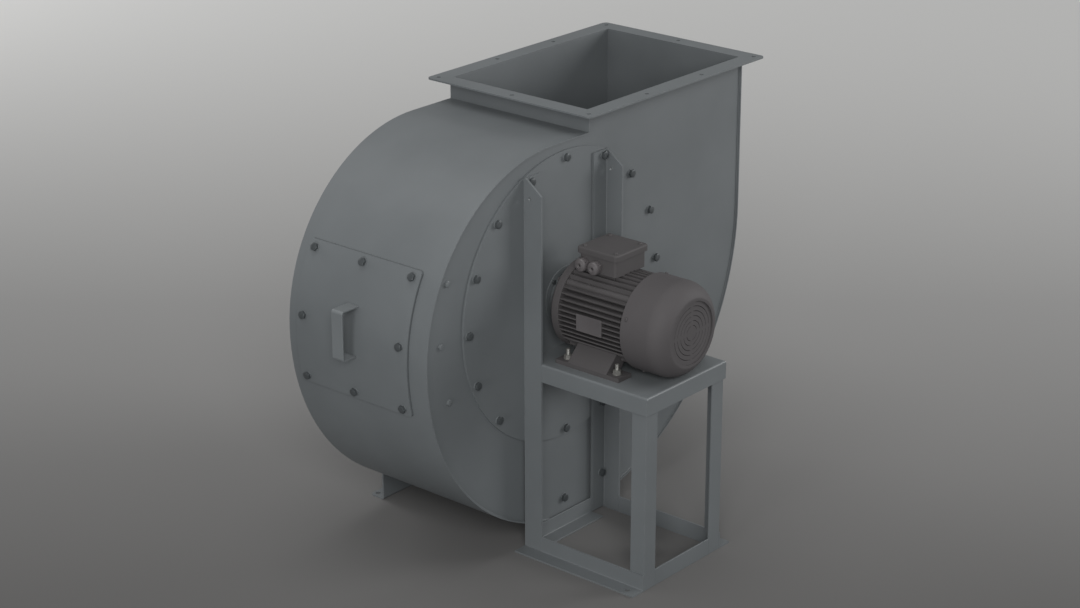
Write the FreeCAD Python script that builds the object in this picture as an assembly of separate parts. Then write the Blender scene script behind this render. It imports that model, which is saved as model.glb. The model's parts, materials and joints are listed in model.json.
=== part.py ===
import FreeCAD
import Part
import os
from math import acos, asin, atan2, cos, pi, radians, sin, sqrt, tan
from FreeCAD import Placement, Rotation, Vector

# A direct-drive centrifugal fan with a welded scroll housing, on an angle-iron pedestal.
# It is drawn about its shaft, in millimetres: X to the right seen from the motor, Y from the
# motor into the housing, Z up, and Y = 0 on the outer face of the motor side plate.
# When a piece is saved, the origin moves to the floor, in the middle of the four floor holes.

# Fits and clearances
slip_fit = 0.03            # radial, a shaft or a bolt in its own bore
bolt_clearance = 0.5       # radial, a bolt in a drilled hole
seal_gap = 0.5             # radial, the turning hub inside the felt seal
shield_gap = 0.3           # bearing shields to the turning inner ring
soft_gap = 0.3             # curved seats of the loose door

# Wheel
wheel_diameter = 600.0
eye_diameter = 392.0       # clear mouth of the shroud
rim_width = 150.0          # back plate to shroud at the rim
shroud_rise = 40.0         # how far the shroud leans towards the inlet, from rim to mouth
shroud_bend = 30.0         # radius of the bend into the mouth
mouth_length = 28.0
wheel_sheet = 3.0          # blades and shroud
back_plate_thickness = 4.0
back_plate_gap = 15.0      # side plate to back plate
blade_count = 10
blade_inlet_angle = 30.0
blade_outlet_angle = 40.0
blade_end_gap = 1.5        # degrees about the blade's own centre, short of eye and rim
hub_radius = 35.0
hub_flange_radius = 80.0
hub_flange_thickness = 8.0
hub_tail = 18.0            # back plate to the inlet end of the hub
rivet_count = 8
rivet_circle_radius = 60.0
rivet_radius = 5.0
rivet_head_radius = 8.0
rivet_head_height = 3.0
end_washer_radius = 24.0
end_washer_thickness = 4.0
key_width = 8.0
key_height = 7.0
key_depth_in_shaft = 4.0
key_length = 40.0

# Scroll housing
wheel_to_wrapper = 65.0    # rim of the wheel to the outside of the wrapper, straight above the shaft
scroll_growth = 97.0       # the wrapper is this much further out after each quarter turn
housing_depth = 410.0      # over both side plates
sheet = 3.0                # wrapper and side plates
wrapper_lip = 5.0          # the wrapper stands this far past each side plate
outlet_width = 569.0       # clear, along X
neck_height = 48.0         # top of the scroll to the underside of the outlet flange
tongue_thickness = 3.0
tongue_drop = 22.0         # straight part of the cut-off tongue under the wrapper
tongue_curl = 15.0         # radius of its rolled edge
ground_clearance = 22.0    # under the lowest point of the wrapper

# Outlet flange
flange_bar = 45.0
flange_thickness = 4.0
flange_corner_radius = 12.0
flange_hole_inset = 25.0   # from the clear opening to the holes
flange_hole_diameter = 11.0
long_side_holes = 4
short_side_holes = 3

# Mounting disc, which closes the hole that the wheel goes in by
wheel_passage = 10.0       # radial room round the wheel in that hole
disc_bolt_inset = 18.0     # edge of the hole to the bolt circle
disc_edge = 16.0           # bolt circle to the rim of the disc
disc_thickness = 5.0
disc_bolt_count = 16
hub_passage = 3.0          # radial room round the hub

# Shaft seal on the disc
seal_width = 17.0
seal_thickness = 6.0
retainer_sheet = 2.0
retainer_flange = 16.0
seal_screw_count = 4

# Inspection door on the left of the wrapper
door_middle_y = 217.0
door_middle_z = -3.0
door_screw_spacing_y = 147.0
door_screw_spacing_z = 145.0
door_side_margin = 22.0
door_end_margin = 18.0
door_thickness = 3.0
door_corner_radius = 8.0
gasket_thickness = 3.0
gasket_width = 40.0
door_frame_thickness = 4.0
frame_flange_reach = 67.0        # left end of the wrapper to the inner edge of the frame's side flanges
frame_screw_inset = 49.0         # left end of the wrapper to the screws that hold those flanges
frame_screw_angle = 19.5         # between those screws
handle_height = 118.0
handle_width = 33.0
handle_standoff = 40.0
handle_thickness = 3.5
handle_bend = 4.0

# Inlet
spigot_diameter = 450.0
spigot_length = 60.0
spigot_sheet = 2.0
collar_width = 45.0
collar_thickness = 4.0
collar_bolt_inset = 18.0   # rim of the collar to its bolts
cone_sheet = 2.0
cone_overlap = 12.0        # the cone reaches this far into the mouth of the wheel
cone_gap = 6.0             # radial, cone to mouth
cone_bell_radius = 190.0
inlet_bolt_count = 12

# Pedestal
post_leg = 50.0            # rear posts, equal angle
post_thickness = 5.0
rail_leg = 40.0            # front posts and base rails, equal angle
rail_thickness = 4.0
root_radius = 2.0
post_bolt_edge = 17.5      # bolt to the outer face of the rear post
post_bolt_top = 12.0       # bolt to the top end of the rear post
post_slope_drop = 34.0     # how far the top of the outstanding leg slopes down
post_hole_drop = 46.0      # lifting hole below the top end
post_hole_reach = 18.0     # lifting hole from the plate side of the post
post_hole_radius = 4.5
lower_bolt_inset = 40.0    # wrapper to the lower post bolts, upwards
middle_bolt_inset = 46.0   # wrapper to the bolt below the shaft, upwards
spacer_radius = 12.0
table_thickness = 4.0
table_rim = 43.0
table_bend = 5.0
table_overhang = 122.0     # rear motor bolts to the free end of the table
table_gap = 0.5            # table to the rear posts
floor_hole_radius = 6.0
floor_hole_edge = 17.0     # floor hole to the outer edge of the rail
floor_hole_end = 28.0      # floor hole to the end of the rail
foot_thickness = 4.0
foot_depth = 45.0
foot_height = 69.0
foot_edge = 14.0           # floor hole to the end of the inlet foot
foot_hole_reach = 32.0     # bend line of the inlet foot to its floor holes
foot_corner_radius = 10.0
foot_bolt_x = 60.0
foot_bolt_drop = 15.0      # top of the inlet foot down to its bolts

# Motor: a foot-mounted frame with a shaft height of 112
shaft_height_on_feet = 112.0
shaft_radius = 14.0
shaft_extension = 60.0
shaft_end_play = 3.0       # end of the shaft inside the hub's end face
foot_hole_setback = 70.0   # shaft shoulder to the first foot holes
foot_hole_length = 140.0
foot_hole_width = 190.0
foot_end = 20.0            # foot hole to the end of the foot
foot_side = 20.0           # foot hole to the outer side of the foot
foot_pad_thickness = 10.0
foot_pad_inner = 70.0
foot_root_low = 38.5       # where the underside of a foot leaves the frame, off the upright
foot_root_high = 53.0      # the same for its upper side, below the level of the shaft
foot_web_length = 110.0
foot_web_top = 66.0        # shaft down to where the foot leaves the frame
foot_stud_show = 14.0      # thread that stands above the foot nuts
boss_radius = 45.0
boss_setback = 13.0
boss_height = 9.0
shield_radius = 104.0
shield_length = 25.0
shield_chamfer = 6.0
shield_spigot = 6.0
shield_wall = 11.0
frame_length = 189.0
frame_bore_radius = 80.0
frame_wall = 6.0
fin_tip_radius = 103.0
fin_pitch = 12.0
fin_thickness = 3.2
fins_per_side = 11
tie_boss_radius = 8.0
tie_boss_circle = 93.0
bearing_bore_radius = 15.0
bearing_inner_radius = 20.0
bearing_outer_inner_radius = 26.0
bearing_outer_radius = 31.0
bearing_width = 16.0
bearing_setback = 19.0     # shoulder to the first bearing
rear_bearing_inset = 8.0   # rear end of the frame in to the second bearing
bearing_wall = 7.0
bearing_shield = 1.0       # sheet shields of the bearings
shaft_hole_gap = 1.5       # radial, shaft through the bearing covers
rotor_bore_radius = 20.0
rotor_radius = 52.0
air_gap = 0.4
stator_length = 115.0
winding_overhang = 20.0
winding_inner_radius = 58.0
winding_outer_radius = 76.0
fan_shaft_radius = 12.0
fan_shaft_length = 43.0
cooling_fan_radius = 92.0
cooling_fan_width = 24.0
cooling_fan_plate = 3.0
cooling_fan_hub_radius = 20.0
cooling_fan_blades = 8
cooling_fan_setback = 12.0 # rear bearing to the cooling fan
cover_radius = 110.0
cover_sheet = 1.8
cover_overlap = 8.0
cover_straight = 69.0
cover_length = 116.0
cover_end_radius = 78.0
cover_rim = 5.0            # flat rim round the recessed end of the cover
cover_recess = 3.0
cover_slot_width = 1.2     # fine ring slots, which let the air in
cover_slot_pitch = 11.0
cover_slot_rings = 5
cover_rib_width = 8.0
cover_lug_width = 18.0
cover_lug_angle = 20.0     # first cover screw, below the shaft's level
cover_screw_depth = 8.0
screw_head_height = 3.0    # heads of the lid and cover screws
terminal_setback = 118.0   # shoulder to the middle of the terminal box
terminal_base_height = 100.0
terminal_seat_inset = 12.0 # box wall in to the seat that it stands on
terminal_size = 105.0
terminal_height = 38.0
terminal_wall = 4.0
terminal_floor = 4.0
lid_size = 114.0
lid_height = 15.0
lid_wall = 4.0
lid_screw_inset = 9.0
lid_screw_radius = 2.5
lid_screw_head = 4.5
lid_pillar_wall = 1.0      # pillar to screw head, radial
lid_screw_grip = 10.0      # thread of a lid screw in the box
block_length = 60.0        # terminal block and its six studs
block_width = 44.0
block_height = 12.0
stud_height = 24.0
stud_radius = 2.5
stud_pitch = 18.0
stud_row_gap = 20.0
gland_spacing = 36.0
gland_height = 14.5        # above the underside of the terminal box
gland_shift = 19.0         # middle of the glands from the middle of the box, towards the fan
gland_thread_radius = 10.0
gland_hex = 27.0
gland_hex_length = 7.0
gland_cap_radius = 15.5
gland_length = 20.0
plate_length = 72.0        # blank rating plate
plate_height = 40.0
plate_thickness = 1.0
plate_setback = 136.0
plate_drop = 4.0
plate_seat = 103.5

# Hexagon bolts: shank radius, width across flats, head height, washer radius and thickness, nut height
M10 = {"shank": 5.0, "flats": 17.0, "head": 6.4, "washer": 10.0, "washer_thickness": 2.0, "nut": 8.0}
M8 = {"shank": 4.0, "flats": 13.0, "head": 5.3, "washer": 8.0, "washer_thickness": 1.6, "nut": 6.5}
M6 = {"shank": 3.0, "flats": 10.0, "head": 4.0, "washer": 6.0, "washer_thickness": 1.6, "nut": 5.0}
tie_screw = M6
thread_spare = 2.0         # thread that shows past a nut

# Scroll sizes that follow
wheel_radius = wheel_diameter / 2
eye_radius = eye_diameter / 2
scroll_start = wheel_radius + wheel_to_wrapper
centre_shift = scroll_growth / 2
top_left_radius = scroll_start + centre_shift
bottom_left_radius = top_left_radius + scroll_growth
right_radius = bottom_left_radius + scroll_growth
scroll_left = -(scroll_start + scroll_growth)
scroll_bottom = -(scroll_start + 2 * scroll_growth)
scroll_right = scroll_start + 3 * scroll_growth
neck_left = scroll_right - 2 * sheet - outlet_width
neck_top = scroll_start + neck_height
inner_face = housing_depth - sheet
frame_screw_radius = -scroll_left - frame_screw_inset
frame_flange_radius = -scroll_left - frame_flange_reach
shaft_height = -scroll_bottom + ground_clearance
floor = -shaft_height

# Wheel and shaft stations along Y
back_plate_y = sheet + back_plate_gap
blade_y = back_plate_y + back_plate_thickness
hub_end_y = blade_y + hub_tail
mouth_y = blade_y + rim_width + shroud_rise + mouth_length
shaft_end_y = hub_end_y - shaft_end_play
shoulder_y = shaft_end_y - shaft_extension
hub_start_y = shoulder_y

# Disc and posts
plate_hole_radius = wheel_radius + wheel_passage
disc_bolt_radius = plate_hole_radius + disc_bolt_inset
disc_radius = disc_bolt_radius + disc_edge
disc_bolt_step = 2 * pi / disc_bolt_count
post_bolt_x = disc_bolt_radius * sin(disc_bolt_step)
post_bolt_z = disc_bolt_radius * cos(disc_bolt_step)
post_top = post_bolt_z + post_bolt_top
half_width = post_bolt_x + post_bolt_edge
front_post_x = half_width - rail_thickness
post_face_y = -disc_thickness
post_front_y = post_face_y - post_leg
rail_reach = front_post_x + rail_leg
floor_hole_x = rail_reach - floor_hole_edge

# Motor and table
front_foot_y = shoulder_y - foot_hole_setback
rear_foot_y = front_foot_y - foot_hole_length
foot_x = foot_hole_width / 2
table_top = -shaft_height_on_feet
table_end_y = rear_foot_y - table_overhang
front_post_y = table_end_y + table_thickness
front_hole_y = front_post_y + floor_hole_end
foot_face_y = housing_depth + wrapper_lip
rear_hole_y = foot_face_y + foot_hole_reach
floor_middle_y = (front_hole_y + rear_hole_y) / 2


def box(x0, x1, y0, y1, z0, z1):
    return Part.makeBox(x1 - x0, y1 - y0, z1 - z0, Vector(x0, y0, z0))


def rod(radius, y0, y1, x=0.0, z=0.0):
    """A cylinder along Y."""
    return Part.makeCylinder(radius, y1 - y0, Vector(x, y0, z), Vector(0, 1, 0))


def ring(outer, inner, y0, y1, x=0.0, z=0.0):
    return rod(outer, y0, y1, x, z).cut(rod(inner, y0, y1, x, z))


def turned(points):
    """A solid turned about the shaft from a closed outline of (radius, y) points."""
    corners = [Vector(radius, y, 0) for radius, y in points]
    face = Part.Face(Part.makePolygon(corners + corners[:1]))
    return face.revolve(Vector(0, 0, 0), Vector(0, 1, 0), 360)


def add_line(edges, start, end):
    """A straight edge, where an arc leaves any length for it."""
    if (end - start).Length > slip_fit / 10:
        edges.append(Part.LineSegment(start, end).toShape())


def rounded_edges(points, radii):
    """Straight edges through the points, with a tangent arc at each inner one."""
    edges = []
    start = points[0]
    for before, corner, after, radius in zip(points, points[1:], points[2:], radii):
        back = (before - corner).normalize()
        ahead = (after - corner).normalize()
        half_angle = back.getAngle(ahead) / 2
        reach = radius / tan(half_angle)
        middle = corner + (back + ahead).normalize() * (radius / sin(half_angle) - radius)
        add_line(edges, start, corner + back * reach)
        edges.append(Part.Arc(corner + back * reach, middle, corner + ahead * reach).toShape())
        start = corner + ahead * reach
    add_line(edges, start, points[-1])
    return edges


def moved_sideways(points, distance):
    """The path of points, moved to its left by distance, in the XY plane."""
    moved = []
    for index, point in enumerate(points):
        along = []
        if index > 0:
            along.append((point - points[index - 1]).normalize())
        if index < len(points) - 1:
            along.append((points[index + 1] - point).normalize())
        normals = [Vector(-step.y, step.x, 0) for step in along]
        total = normals[0] + normals[-1]
        total = total * (2 / (total * total))
        moved.append(point + total * distance)
    return moved


def bent_strip(path, thickness, bend):
    """A face of a bent sheet in the XY plane: path is its right side, bend its inner radius."""
    points = [Vector(u, v, 0) for u, v in path]
    right_radii = []
    left_radii = []
    for before, corner, after in zip(points, points[1:], points[2:]):
        turns_left = (corner - before).cross(after - corner).z > 0
        right_radii.append(bend + thickness if turns_left else bend)
        left_radii.append(bend if turns_left else bend + thickness)
    left = moved_sideways(points, thickness)
    first = rounded_edges(points, right_radii)
    second = rounded_edges(left, left_radii)
    caps = [
        Part.LineSegment(points[-1], left[-1]).toShape(),
        Part.LineSegment(left[0], points[0]).toShape(),
    ]
    return Part.Face(Part.Wire(Part.__sortEdges__(first + second + caps)))


def rounded_plate(u0, u1, v0, v1, radius, thickness):
    """A plate in the XY plane with four rounded corners, from z = 0 up."""
    plate = box(u0, u1, v0, v1, 0, thickness)
    corners = [edge for edge in plate.Edges if abs(edge.tangentAt(0).z) > 0.5]
    return plate.makeFillet(radius, corners)


def placed(shape, point, direction):
    """The shape with its own +Z turned to direction and its origin at point."""
    copy = shape.copy()
    copy.Placement = Placement(point, Rotation(Vector(0, 0, 1), direction)).multiply(copy.Placement)
    return copy


def mirrored(shape):
    return shape.mirror(Vector(0, 0, 0), Vector(1, 0, 0))


def hexagon(flats, height, z=0.0):
    corner = flats / sqrt(3)
    points = [Vector(corner * cos(k * pi / 3), corner * sin(k * pi / 3), z) for k in range(7)]
    return Part.Face(Part.makePolygon(points)).extrude(Vector(0, 0, height))


def disc(radius, height, z=0.0):
    return Part.makeCylinder(radius, height, Vector(0, 0, z))


def bolt(size, reach, washer=True):
    """Bolt and washer on a seat at z = 0, the shank reaching down by reach."""
    lift = size["washer_thickness"] if washer else 0.0
    solids = [hexagon(size["flats"], size["head"], lift).fuse(disc(size["shank"], reach + lift, -reach))]
    solids[0] = solids[0].removeSplitter()
    if washer:
        hole = disc(size["shank"] + slip_fit, lift)
        solids.append(disc(size["washer"], lift).cut(hole))
    return solids


def nut(size, depth):
    """A nut whose seat is at z = -depth."""
    blank = hexagon(size["flats"], size["nut"], -depth - size["nut"])
    return blank.cut(disc(size["shank"] + slip_fit, size["nut"], -depth - size["nut"]))


def bolt_reach(size, grip):
    return grip + size["nut"] + thread_spare


def hole_radius(size):
    return size["shank"] + bolt_clearance


def polar(radius, angle, y=0.0):
    """A point at an angle from +X towards +Z, about the shaft."""
    return Vector(radius * cos(angle), y, radius * sin(angle))


# Scroll housing

def scroll_face(inset):
    """The area inside the wrapper's outline, moved inwards by inset, at y = 0."""
    shift = centre_shift
    top = scroll_start - inset
    left_wall = neck_left + inset
    right_wall = scroll_right - inset
    left_end = scroll_left + inset
    bottom_end = scroll_bottom + inset
    outlet_left = Vector(left_wall, 0, neck_top)
    neck_corner = Vector(left_wall, 0, top)
    arc_start = Vector(-shift, 0, top)
    left_point = Vector(left_end, 0, -shift)
    bottom_point = Vector(shift, 0, bottom_end)
    right_point = Vector(right_wall, 0, shift)
    outlet_right = Vector(right_wall, 0, neck_top)

    def quarter(start, centre_x, centre_z, radius, middle_angle, end):
        centre = Vector(centre_x, 0, centre_z)
        middle = centre + polar(radius - inset, radians(middle_angle))
        return Part.Arc(start, middle, end).toShape()

    edges = [
        Part.LineSegment(outlet_left, neck_corner).toShape(),
        Part.LineSegment(neck_corner, arc_start).toShape(),
        quarter(arc_start, -shift, -shift, top_left_radius, 135, left_point),
        quarter(left_point, shift, -shift, bottom_left_radius, 225, bottom_point),
        quarter(bottom_point, shift, shift, right_radius, 315, right_point),
        Part.LineSegment(right_point, outlet_right).toShape(),
        Part.LineSegment(outlet_right, outlet_left).toShape(),
    ]
    return Part.Face(Part.Wire(edges))


def scroll_block(inset, y0, y1):
    block = scroll_face(inset).extrude(Vector(0, y1 - y0, 0))
    block.translate(Vector(0, y0, 0))
    return block


def wrapper_height_below(x):
    """Z of the wrapper's inside at the bottom left, at a given x."""
    radius = bottom_left_radius - sheet
    return -centre_shift - sqrt(radius ** 2 - (x - centre_shift) ** 2)


def door_window(margin):
    """A block through the left of the wrapper, the door's outline made smaller by margin."""
    half_y = door_screw_spacing_y + door_side_margin - margin
    half_z = door_screw_spacing_z + door_end_margin - margin
    plate = rounded_plate(-half_z, half_z, -half_y, half_y, door_corner_radius, -scroll_left)
    return placed_on_left(plate, scroll_left - handle_standoff)


def placed_on_left(plate, x):
    """Turns a plate's X to Z and lays it in the YZ plane, growing towards +X from x."""
    turned_plate = plate.copy()
    rotation = Rotation(Vector(0, 0, -1), Vector(0, 1, 0), Vector(1, 0, 0), "XYZ")
    place = Placement(Vector(x, door_middle_y, door_middle_z), rotation)
    turned_plate.Placement = place.multiply(turned_plate.Placement)
    return turned_plate


def door_screw_seats():
    """Point on the wrapper, outward direction and depth of slot for each door screw."""
    seats = []
    for row in (1, 0, -1):
        z = door_middle_z + row * door_screw_spacing_z
        upper = z > -centre_shift
        centre_x = -centre_shift if upper else centre_shift
        radius = top_left_radius if upper else bottom_left_radius
        tilt = asin((z + centre_shift) / radius)
        direction = Vector(-cos(tilt), 0, sin(tilt))
        for column in (-1, 0, 1):
            if row == 0 and column == 0:
                continue
            y = door_middle_y + column * door_screw_spacing_y
            point = Vector(centre_x, y, -centre_shift) + direction * radius
            seats.append((point, direction, tilt))
    return seats


def door_pull_angle():
    """The door comes straight off along this angle above -X, midway between its end screws."""
    tilts = [tilt for point, direction, tilt in door_screw_seats()]
    return (max(tilts) + min(tilts)) / 2


def door_screw_slots():
    """Slots that let the tilted screws out along the pull direction."""
    depth = sheet + door_frame_thickness
    length = 4 * depth
    width = hole_radius(M10)
    slots = []
    for point, direction, tilt in door_screw_seats():
        drift = depth * tan(tilt - door_pull_angle())
        tangent = Vector(direction.z, 0, -direction.x)
        base = point - direction * (length / 2)
        hole = Part.makeCylinder(width, length, base, direction)
        moved = hole.copy()
        moved.translate(tangent * -drift)
        bridge = box(min(0, -drift), max(0, -drift), -width, width, 0, length)
        rotation = Rotation(tangent, Vector(0, 1, 0), direction, "ZXY")
        bridge.Placement = Placement(base, rotation)
        slots.append(hole.fuse(moved).fuse(bridge) if abs(drift) > seal_gap else hole)
    return slots


def scroll_wrapper():
    outside = scroll_block(0, -wrapper_lip, housing_depth + wrapper_lip)
    inside = scroll_block(sheet, -wrapper_lip, housing_depth + wrapper_lip)
    wrapper = outside.cut(inside)
    return wrapper.cut([door_window(gasket_width)] + door_screw_slots())


def frame_screw_points():
    middle = pi
    step = radians(frame_screw_angle)
    return [polar(frame_screw_radius, middle + k * step) for k in (-1, 0, 1)]


def motor_side_plate():
    plate = scroll_block(sheet, 0, sheet)
    cuts = [rod(plate_hole_radius, 0, sheet)]
    cuts += [rod(hole_radius(M10), 0, sheet, x, z) for x, z in disc_bolt_points() + lower_bolt_points()]
    cuts += [rod(hole_radius(M8), 0, sheet, p.x, p.z) for p in frame_screw_points()]
    return plate.cut(cuts)


def inlet_side_plate():
    plate = scroll_block(sheet, inner_face, housing_depth)
    cuts = [rod(spigot_diameter / 2 + bolt_clearance, inner_face, housing_depth)]
    cuts += [rod(hole_radius(M8), inner_face, housing_depth, p.x, p.z) for p in inlet_bolt_points()]
    cuts += [rod(hole_radius(M8), inner_face, housing_depth, p.x, p.z) for p in frame_screw_points()]
    cuts += [rod(hole_radius(M10), inner_face, housing_depth, x, z) for x, z in foot_bolt_points()]
    return plate.cut(cuts)


def cutoff_tongue():
    """A strip under the left wall of the neck, rolled away from the wheel at its lower edge."""
    outer_x = neck_left + tongue_thickness
    top = scroll_start - sheet
    low = top - tongue_drop - tongue_curl - tongue_thickness
    back_x = neck_left - tongue_curl
    face = bent_strip([(back_x, low), (outer_x, low), (outer_x, top)], tongue_thickness, tongue_curl)
    strip = face.extrude(Vector(0, 0, inner_face - sheet))
    upright = Rotation(Vector(1, 0, 0), Vector(0, 0, 1), Vector(0, -1, 0), "ZXY")
    strip.Placement = Placement(Vector(0, inner_face, 0), upright)
    return strip


def flange_hole_points():
    """Holes along the two long sides, then those between them on the short sides."""
    x0 = neck_left + sheet - flange_hole_inset
    x1 = scroll_right - sheet + flange_hole_inset
    y0 = sheet - flange_hole_inset
    y1 = inner_face + flange_hole_inset
    along = [x0 + (x1 - x0) * k / (long_side_holes - 1) for k in range(long_side_holes)]
    across = [y0 + (y1 - y0) * k / (short_side_holes - 1) for k in range(1, short_side_holes - 1)]
    return [(x, y) for x in along for y in (y0, y1)] + [(x, y) for x in (x0, x1) for y in across]


def outlet_flange():
    x0 = neck_left + sheet
    x1 = scroll_right - sheet
    bar = flange_bar
    y0 = sheet - bar
    y1 = inner_face + bar
    plate = rounded_plate(x0 - bar, x1 + bar, y0, y1, flange_corner_radius, flange_thickness)
    cuts = [box(x0, x1, sheet, inner_face, 0, flange_thickness)]
    for x, y in flange_hole_points():
        cuts.append(Part.makeCylinder(flange_hole_diameter / 2, flange_thickness, Vector(x, y, 0)))
    flange = plate.cut(cuts)
    flange.translate(Vector(0, 0, neck_top))
    return flange


# Mounting disc and shaft seal

def disc_bolt_points():
    angles = [k * disc_bolt_step for k in range(disc_bolt_count)]
    return [(disc_bolt_radius * sin(a), disc_bolt_radius * cos(a)) for a in angles]


def lower_bolt_points():
    side_z = wrapper_height_below(-post_bolt_x) + lower_bolt_inset
    middle_z = wrapper_height_below(0) + middle_bolt_inset
    return [(-post_bolt_x, side_z), (post_bolt_x, side_z), (0.0, middle_z)]


def seal_screw_points():
    radius = hub_radius + seal_gap + seal_width + retainer_sheet + retainer_flange / 2
    angles = [pi / 4 + 2 * pi * k / seal_screw_count for k in range(seal_screw_count)]
    return [polar(radius, a) for a in angles]


def mounting_disc():
    plate = rod(disc_radius, -disc_thickness, 0)
    cuts = [rod(hub_radius + hub_passage, -disc_thickness, 0)]
    cuts += [rod(hole_radius(M10), -disc_thickness, 0, x, z) for x, z in disc_bolt_points()]
    cuts += [rod(M6["shank"] + slip_fit, -disc_thickness, 0, p.x, p.z) for p in seal_screw_points()]
    return plate.cut(cuts)


def behind_post(x, z):
    return abs(abs(x) - post_bolt_x) < bolt_clearance


def side_plate_bolts():
    """Sixteen bolts of the disc and three lower down, longer through the rear posts, and their weld nuts."""
    solids = []
    for x, z in disc_bolt_points():
        seat = disc_thickness + (post_thickness if behind_post(x, z) and abs(z) > abs(x) else 0.0)
        solids += bolt_at(M10, x, -seat, z, seat + sheet)
    for x, z in lower_bolt_points():
        seat = disc_thickness + post_thickness if behind_post(x, z) else 0.0
        solids += bolt_at(M10, x, -seat, z, seat + sheet)
    for x, z in disc_bolt_points() + lower_bolt_points():
        solids.append(placed(nut(M10, sheet), Vector(x, 0, z), Vector(0, -1, 0)))
    return Part.makeCompound(solids)


def bolt_at(size, x, y, z, grip, toward_motor=True):
    """A bolt with its washer on a face square to the shaft, head away from the housing."""
    direction = Vector(0, -1 if toward_motor else 1, 0)
    return [placed(solid, Vector(x, y, z), direction) for solid in bolt(size, bolt_reach(size, grip))]


def plate_spacers():
    """Round spacers, as thick as the wrapper's lip, behind the lower post bolts and the inlet foot."""
    points = [(x, z, -wrapper_lip) for x, z in lower_bolt_points()[:2]]
    points += [(x, z, housing_depth) for x, z in foot_bolt_points()]
    solids = [ring(spacer_radius, hole_radius(M10), y, y + wrapper_lip, x, z) for x, z, y in points]
    return Part.makeCompound(solids)


def shaft_seal():
    inner = hub_radius + seal_gap
    back = -disc_thickness
    return ring(inner + seal_width, inner, back - seal_thickness, back)


def seal_retainer():
    """A hat-shaped ring that presses the felt seal on the disc."""
    inner = hub_radius + seal_gap + seal_width + seal_gap
    outer = inner + retainer_sheet
    back = -disc_thickness
    crown = back - seal_thickness - retainer_sheet
    profile = [
        (hub_radius + hub_passage, crown),
        (outer, crown),
        (outer, back - retainer_sheet),
        (outer + retainer_flange, back - retainer_sheet),
        (outer + retainer_flange, back),
        (inner, back),
        (inner, crown + retainer_sheet),
        (hub_radius + hub_passage, crown + retainer_sheet),
    ]
    holes = [rod(hole_radius(M6), crown, back, p.x, p.z) for p in seal_screw_points()]
    return turned(profile).cut(holes)


def seal_screws():
    reach = retainer_sheet + disc_thickness
    screw = bolt(M6, reach, washer=False)[0]
    seat = -disc_thickness - retainer_sheet
    points = [Vector(p.x, seat, p.z) for p in seal_screw_points()]
    return Part.makeCompound([placed(screw, point, Vector(0, -1, 0)) for point in points])


# Inspection door

def door_band(outer, inner):
    """Part of the curved wall between two offsets from the wrapper's outside, over its full depth."""
    block = scroll_block(-outer, 0, housing_depth)
    return block.cut(scroll_block(-inner, 0, housing_depth))


def door_offsets():
    gasket_inner = soft_gap
    door_inner = gasket_inner + gasket_thickness
    return gasket_inner, door_inner, door_inner + door_thickness


def door_holes():
    length = 2 * (gasket_thickness + door_thickness + soft_gap)
    holes = []
    for point, direction, tilt in door_screw_seats():
        base = point - direction * (length / 2)
        holes.append(Part.makeCylinder(hole_radius(M10), 2 * length, base, direction))
    return holes


def inspection_door():
    gasket_inner, door_inner, door_outer = door_offsets()
    return door_band(door_outer, door_inner).common(door_window(0)).cut(door_holes())


def door_gasket():
    gasket_inner, door_inner, door_outer = door_offsets()
    band = door_band(door_inner, gasket_inner)
    return band.common(door_window(0)).cut([door_window(gasket_width)] + door_holes())


def door_screws():
    gasket_inner, door_inner, door_outer = door_offsets()
    reach = door_outer + sheet + door_frame_thickness
    solids = []
    for point, direction, tilt in door_screw_seats():
        seat = point + direction * door_outer
        solids += [placed(solid, seat, direction) for solid in bolt(M10, reach)]
    return Part.makeCompound(solids)


def door_handle():
    """A bent strap, its two legs cut to the curve of the door."""
    gasket_inner, door_inner, door_outer = door_offsets()
    half = handle_height / 2
    root = -scroll_left / 2
    grip = -scroll_left + door_outer + handle_standoff
    path = [(-root, half), (-grip, half), (-grip, -half), (-root, -half)]
    face = bent_strip(path, handle_thickness, handle_bend)
    strap = face.extrude(Vector(0, 0, handle_width))
    upright = Rotation(Vector(1, 0, 0), Vector(0, 0, 1), Vector(0, -1, 0), "ZXY")
    strap.Placement = Placement(Vector(0, door_middle_y + handle_width / 2, door_middle_z), upright)
    return strap.cut(scroll_block(-door_outer, 0, housing_depth))


def door_frame():
    """A curved plate behind the wrapper with a window, and a flange on each side plate."""
    wall = scroll_block(sheet, sheet, inner_face)
    wall = wall.cut(scroll_block(sheet + door_frame_thickness, sheet, inner_face))
    wall = wall.cut(door_window(gasket_width))
    half_z = door_screw_spacing_z + door_end_margin
    low_z = door_middle_z - half_z
    slab = box(scroll_left, scroll_left / 2, 0, housing_depth, low_z, low_z + 2 * half_z)
    solid = wall.common(slab)
    t = door_frame_thickness
    for y in (sheet, inner_face - t):
        flange = scroll_block(sheet, y, y + t).common(slab)
        flange = flange.cut(rod(frame_flange_radius, y, y + t))
        holes = [rod(hole_radius(M8), y, y + t, p.x, p.z) for p in frame_screw_points()]
        solid = solid.fuse(flange.cut(holes))
    return solid.cut(door_screw_slots()).removeSplitter()


def door_frame_screws():
    grip = sheet + door_frame_thickness
    solids = []
    for point in frame_screw_points():
        for y, outward in ((0.0, -1), (housing_depth, 1)):
            seat = Vector(point.x, y, point.z)
            direction = Vector(0, outward, 0)
            screw = bolt(M8, bolt_reach(M8, grip), washer=False)[0]
            solids += [placed(solid, seat, direction) for solid in (screw, nut(M8, grip))]
    return Part.makeCompound(solids)


# Inlet

def inlet_bolt_points():
    radius = spigot_diameter / 2 + collar_width - collar_bolt_inset
    angles = [pi / inlet_bolt_count + 2 * pi * k / inlet_bolt_count for k in range(inlet_bolt_count)]
    return [polar(radius, a) for a in angles]


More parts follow.
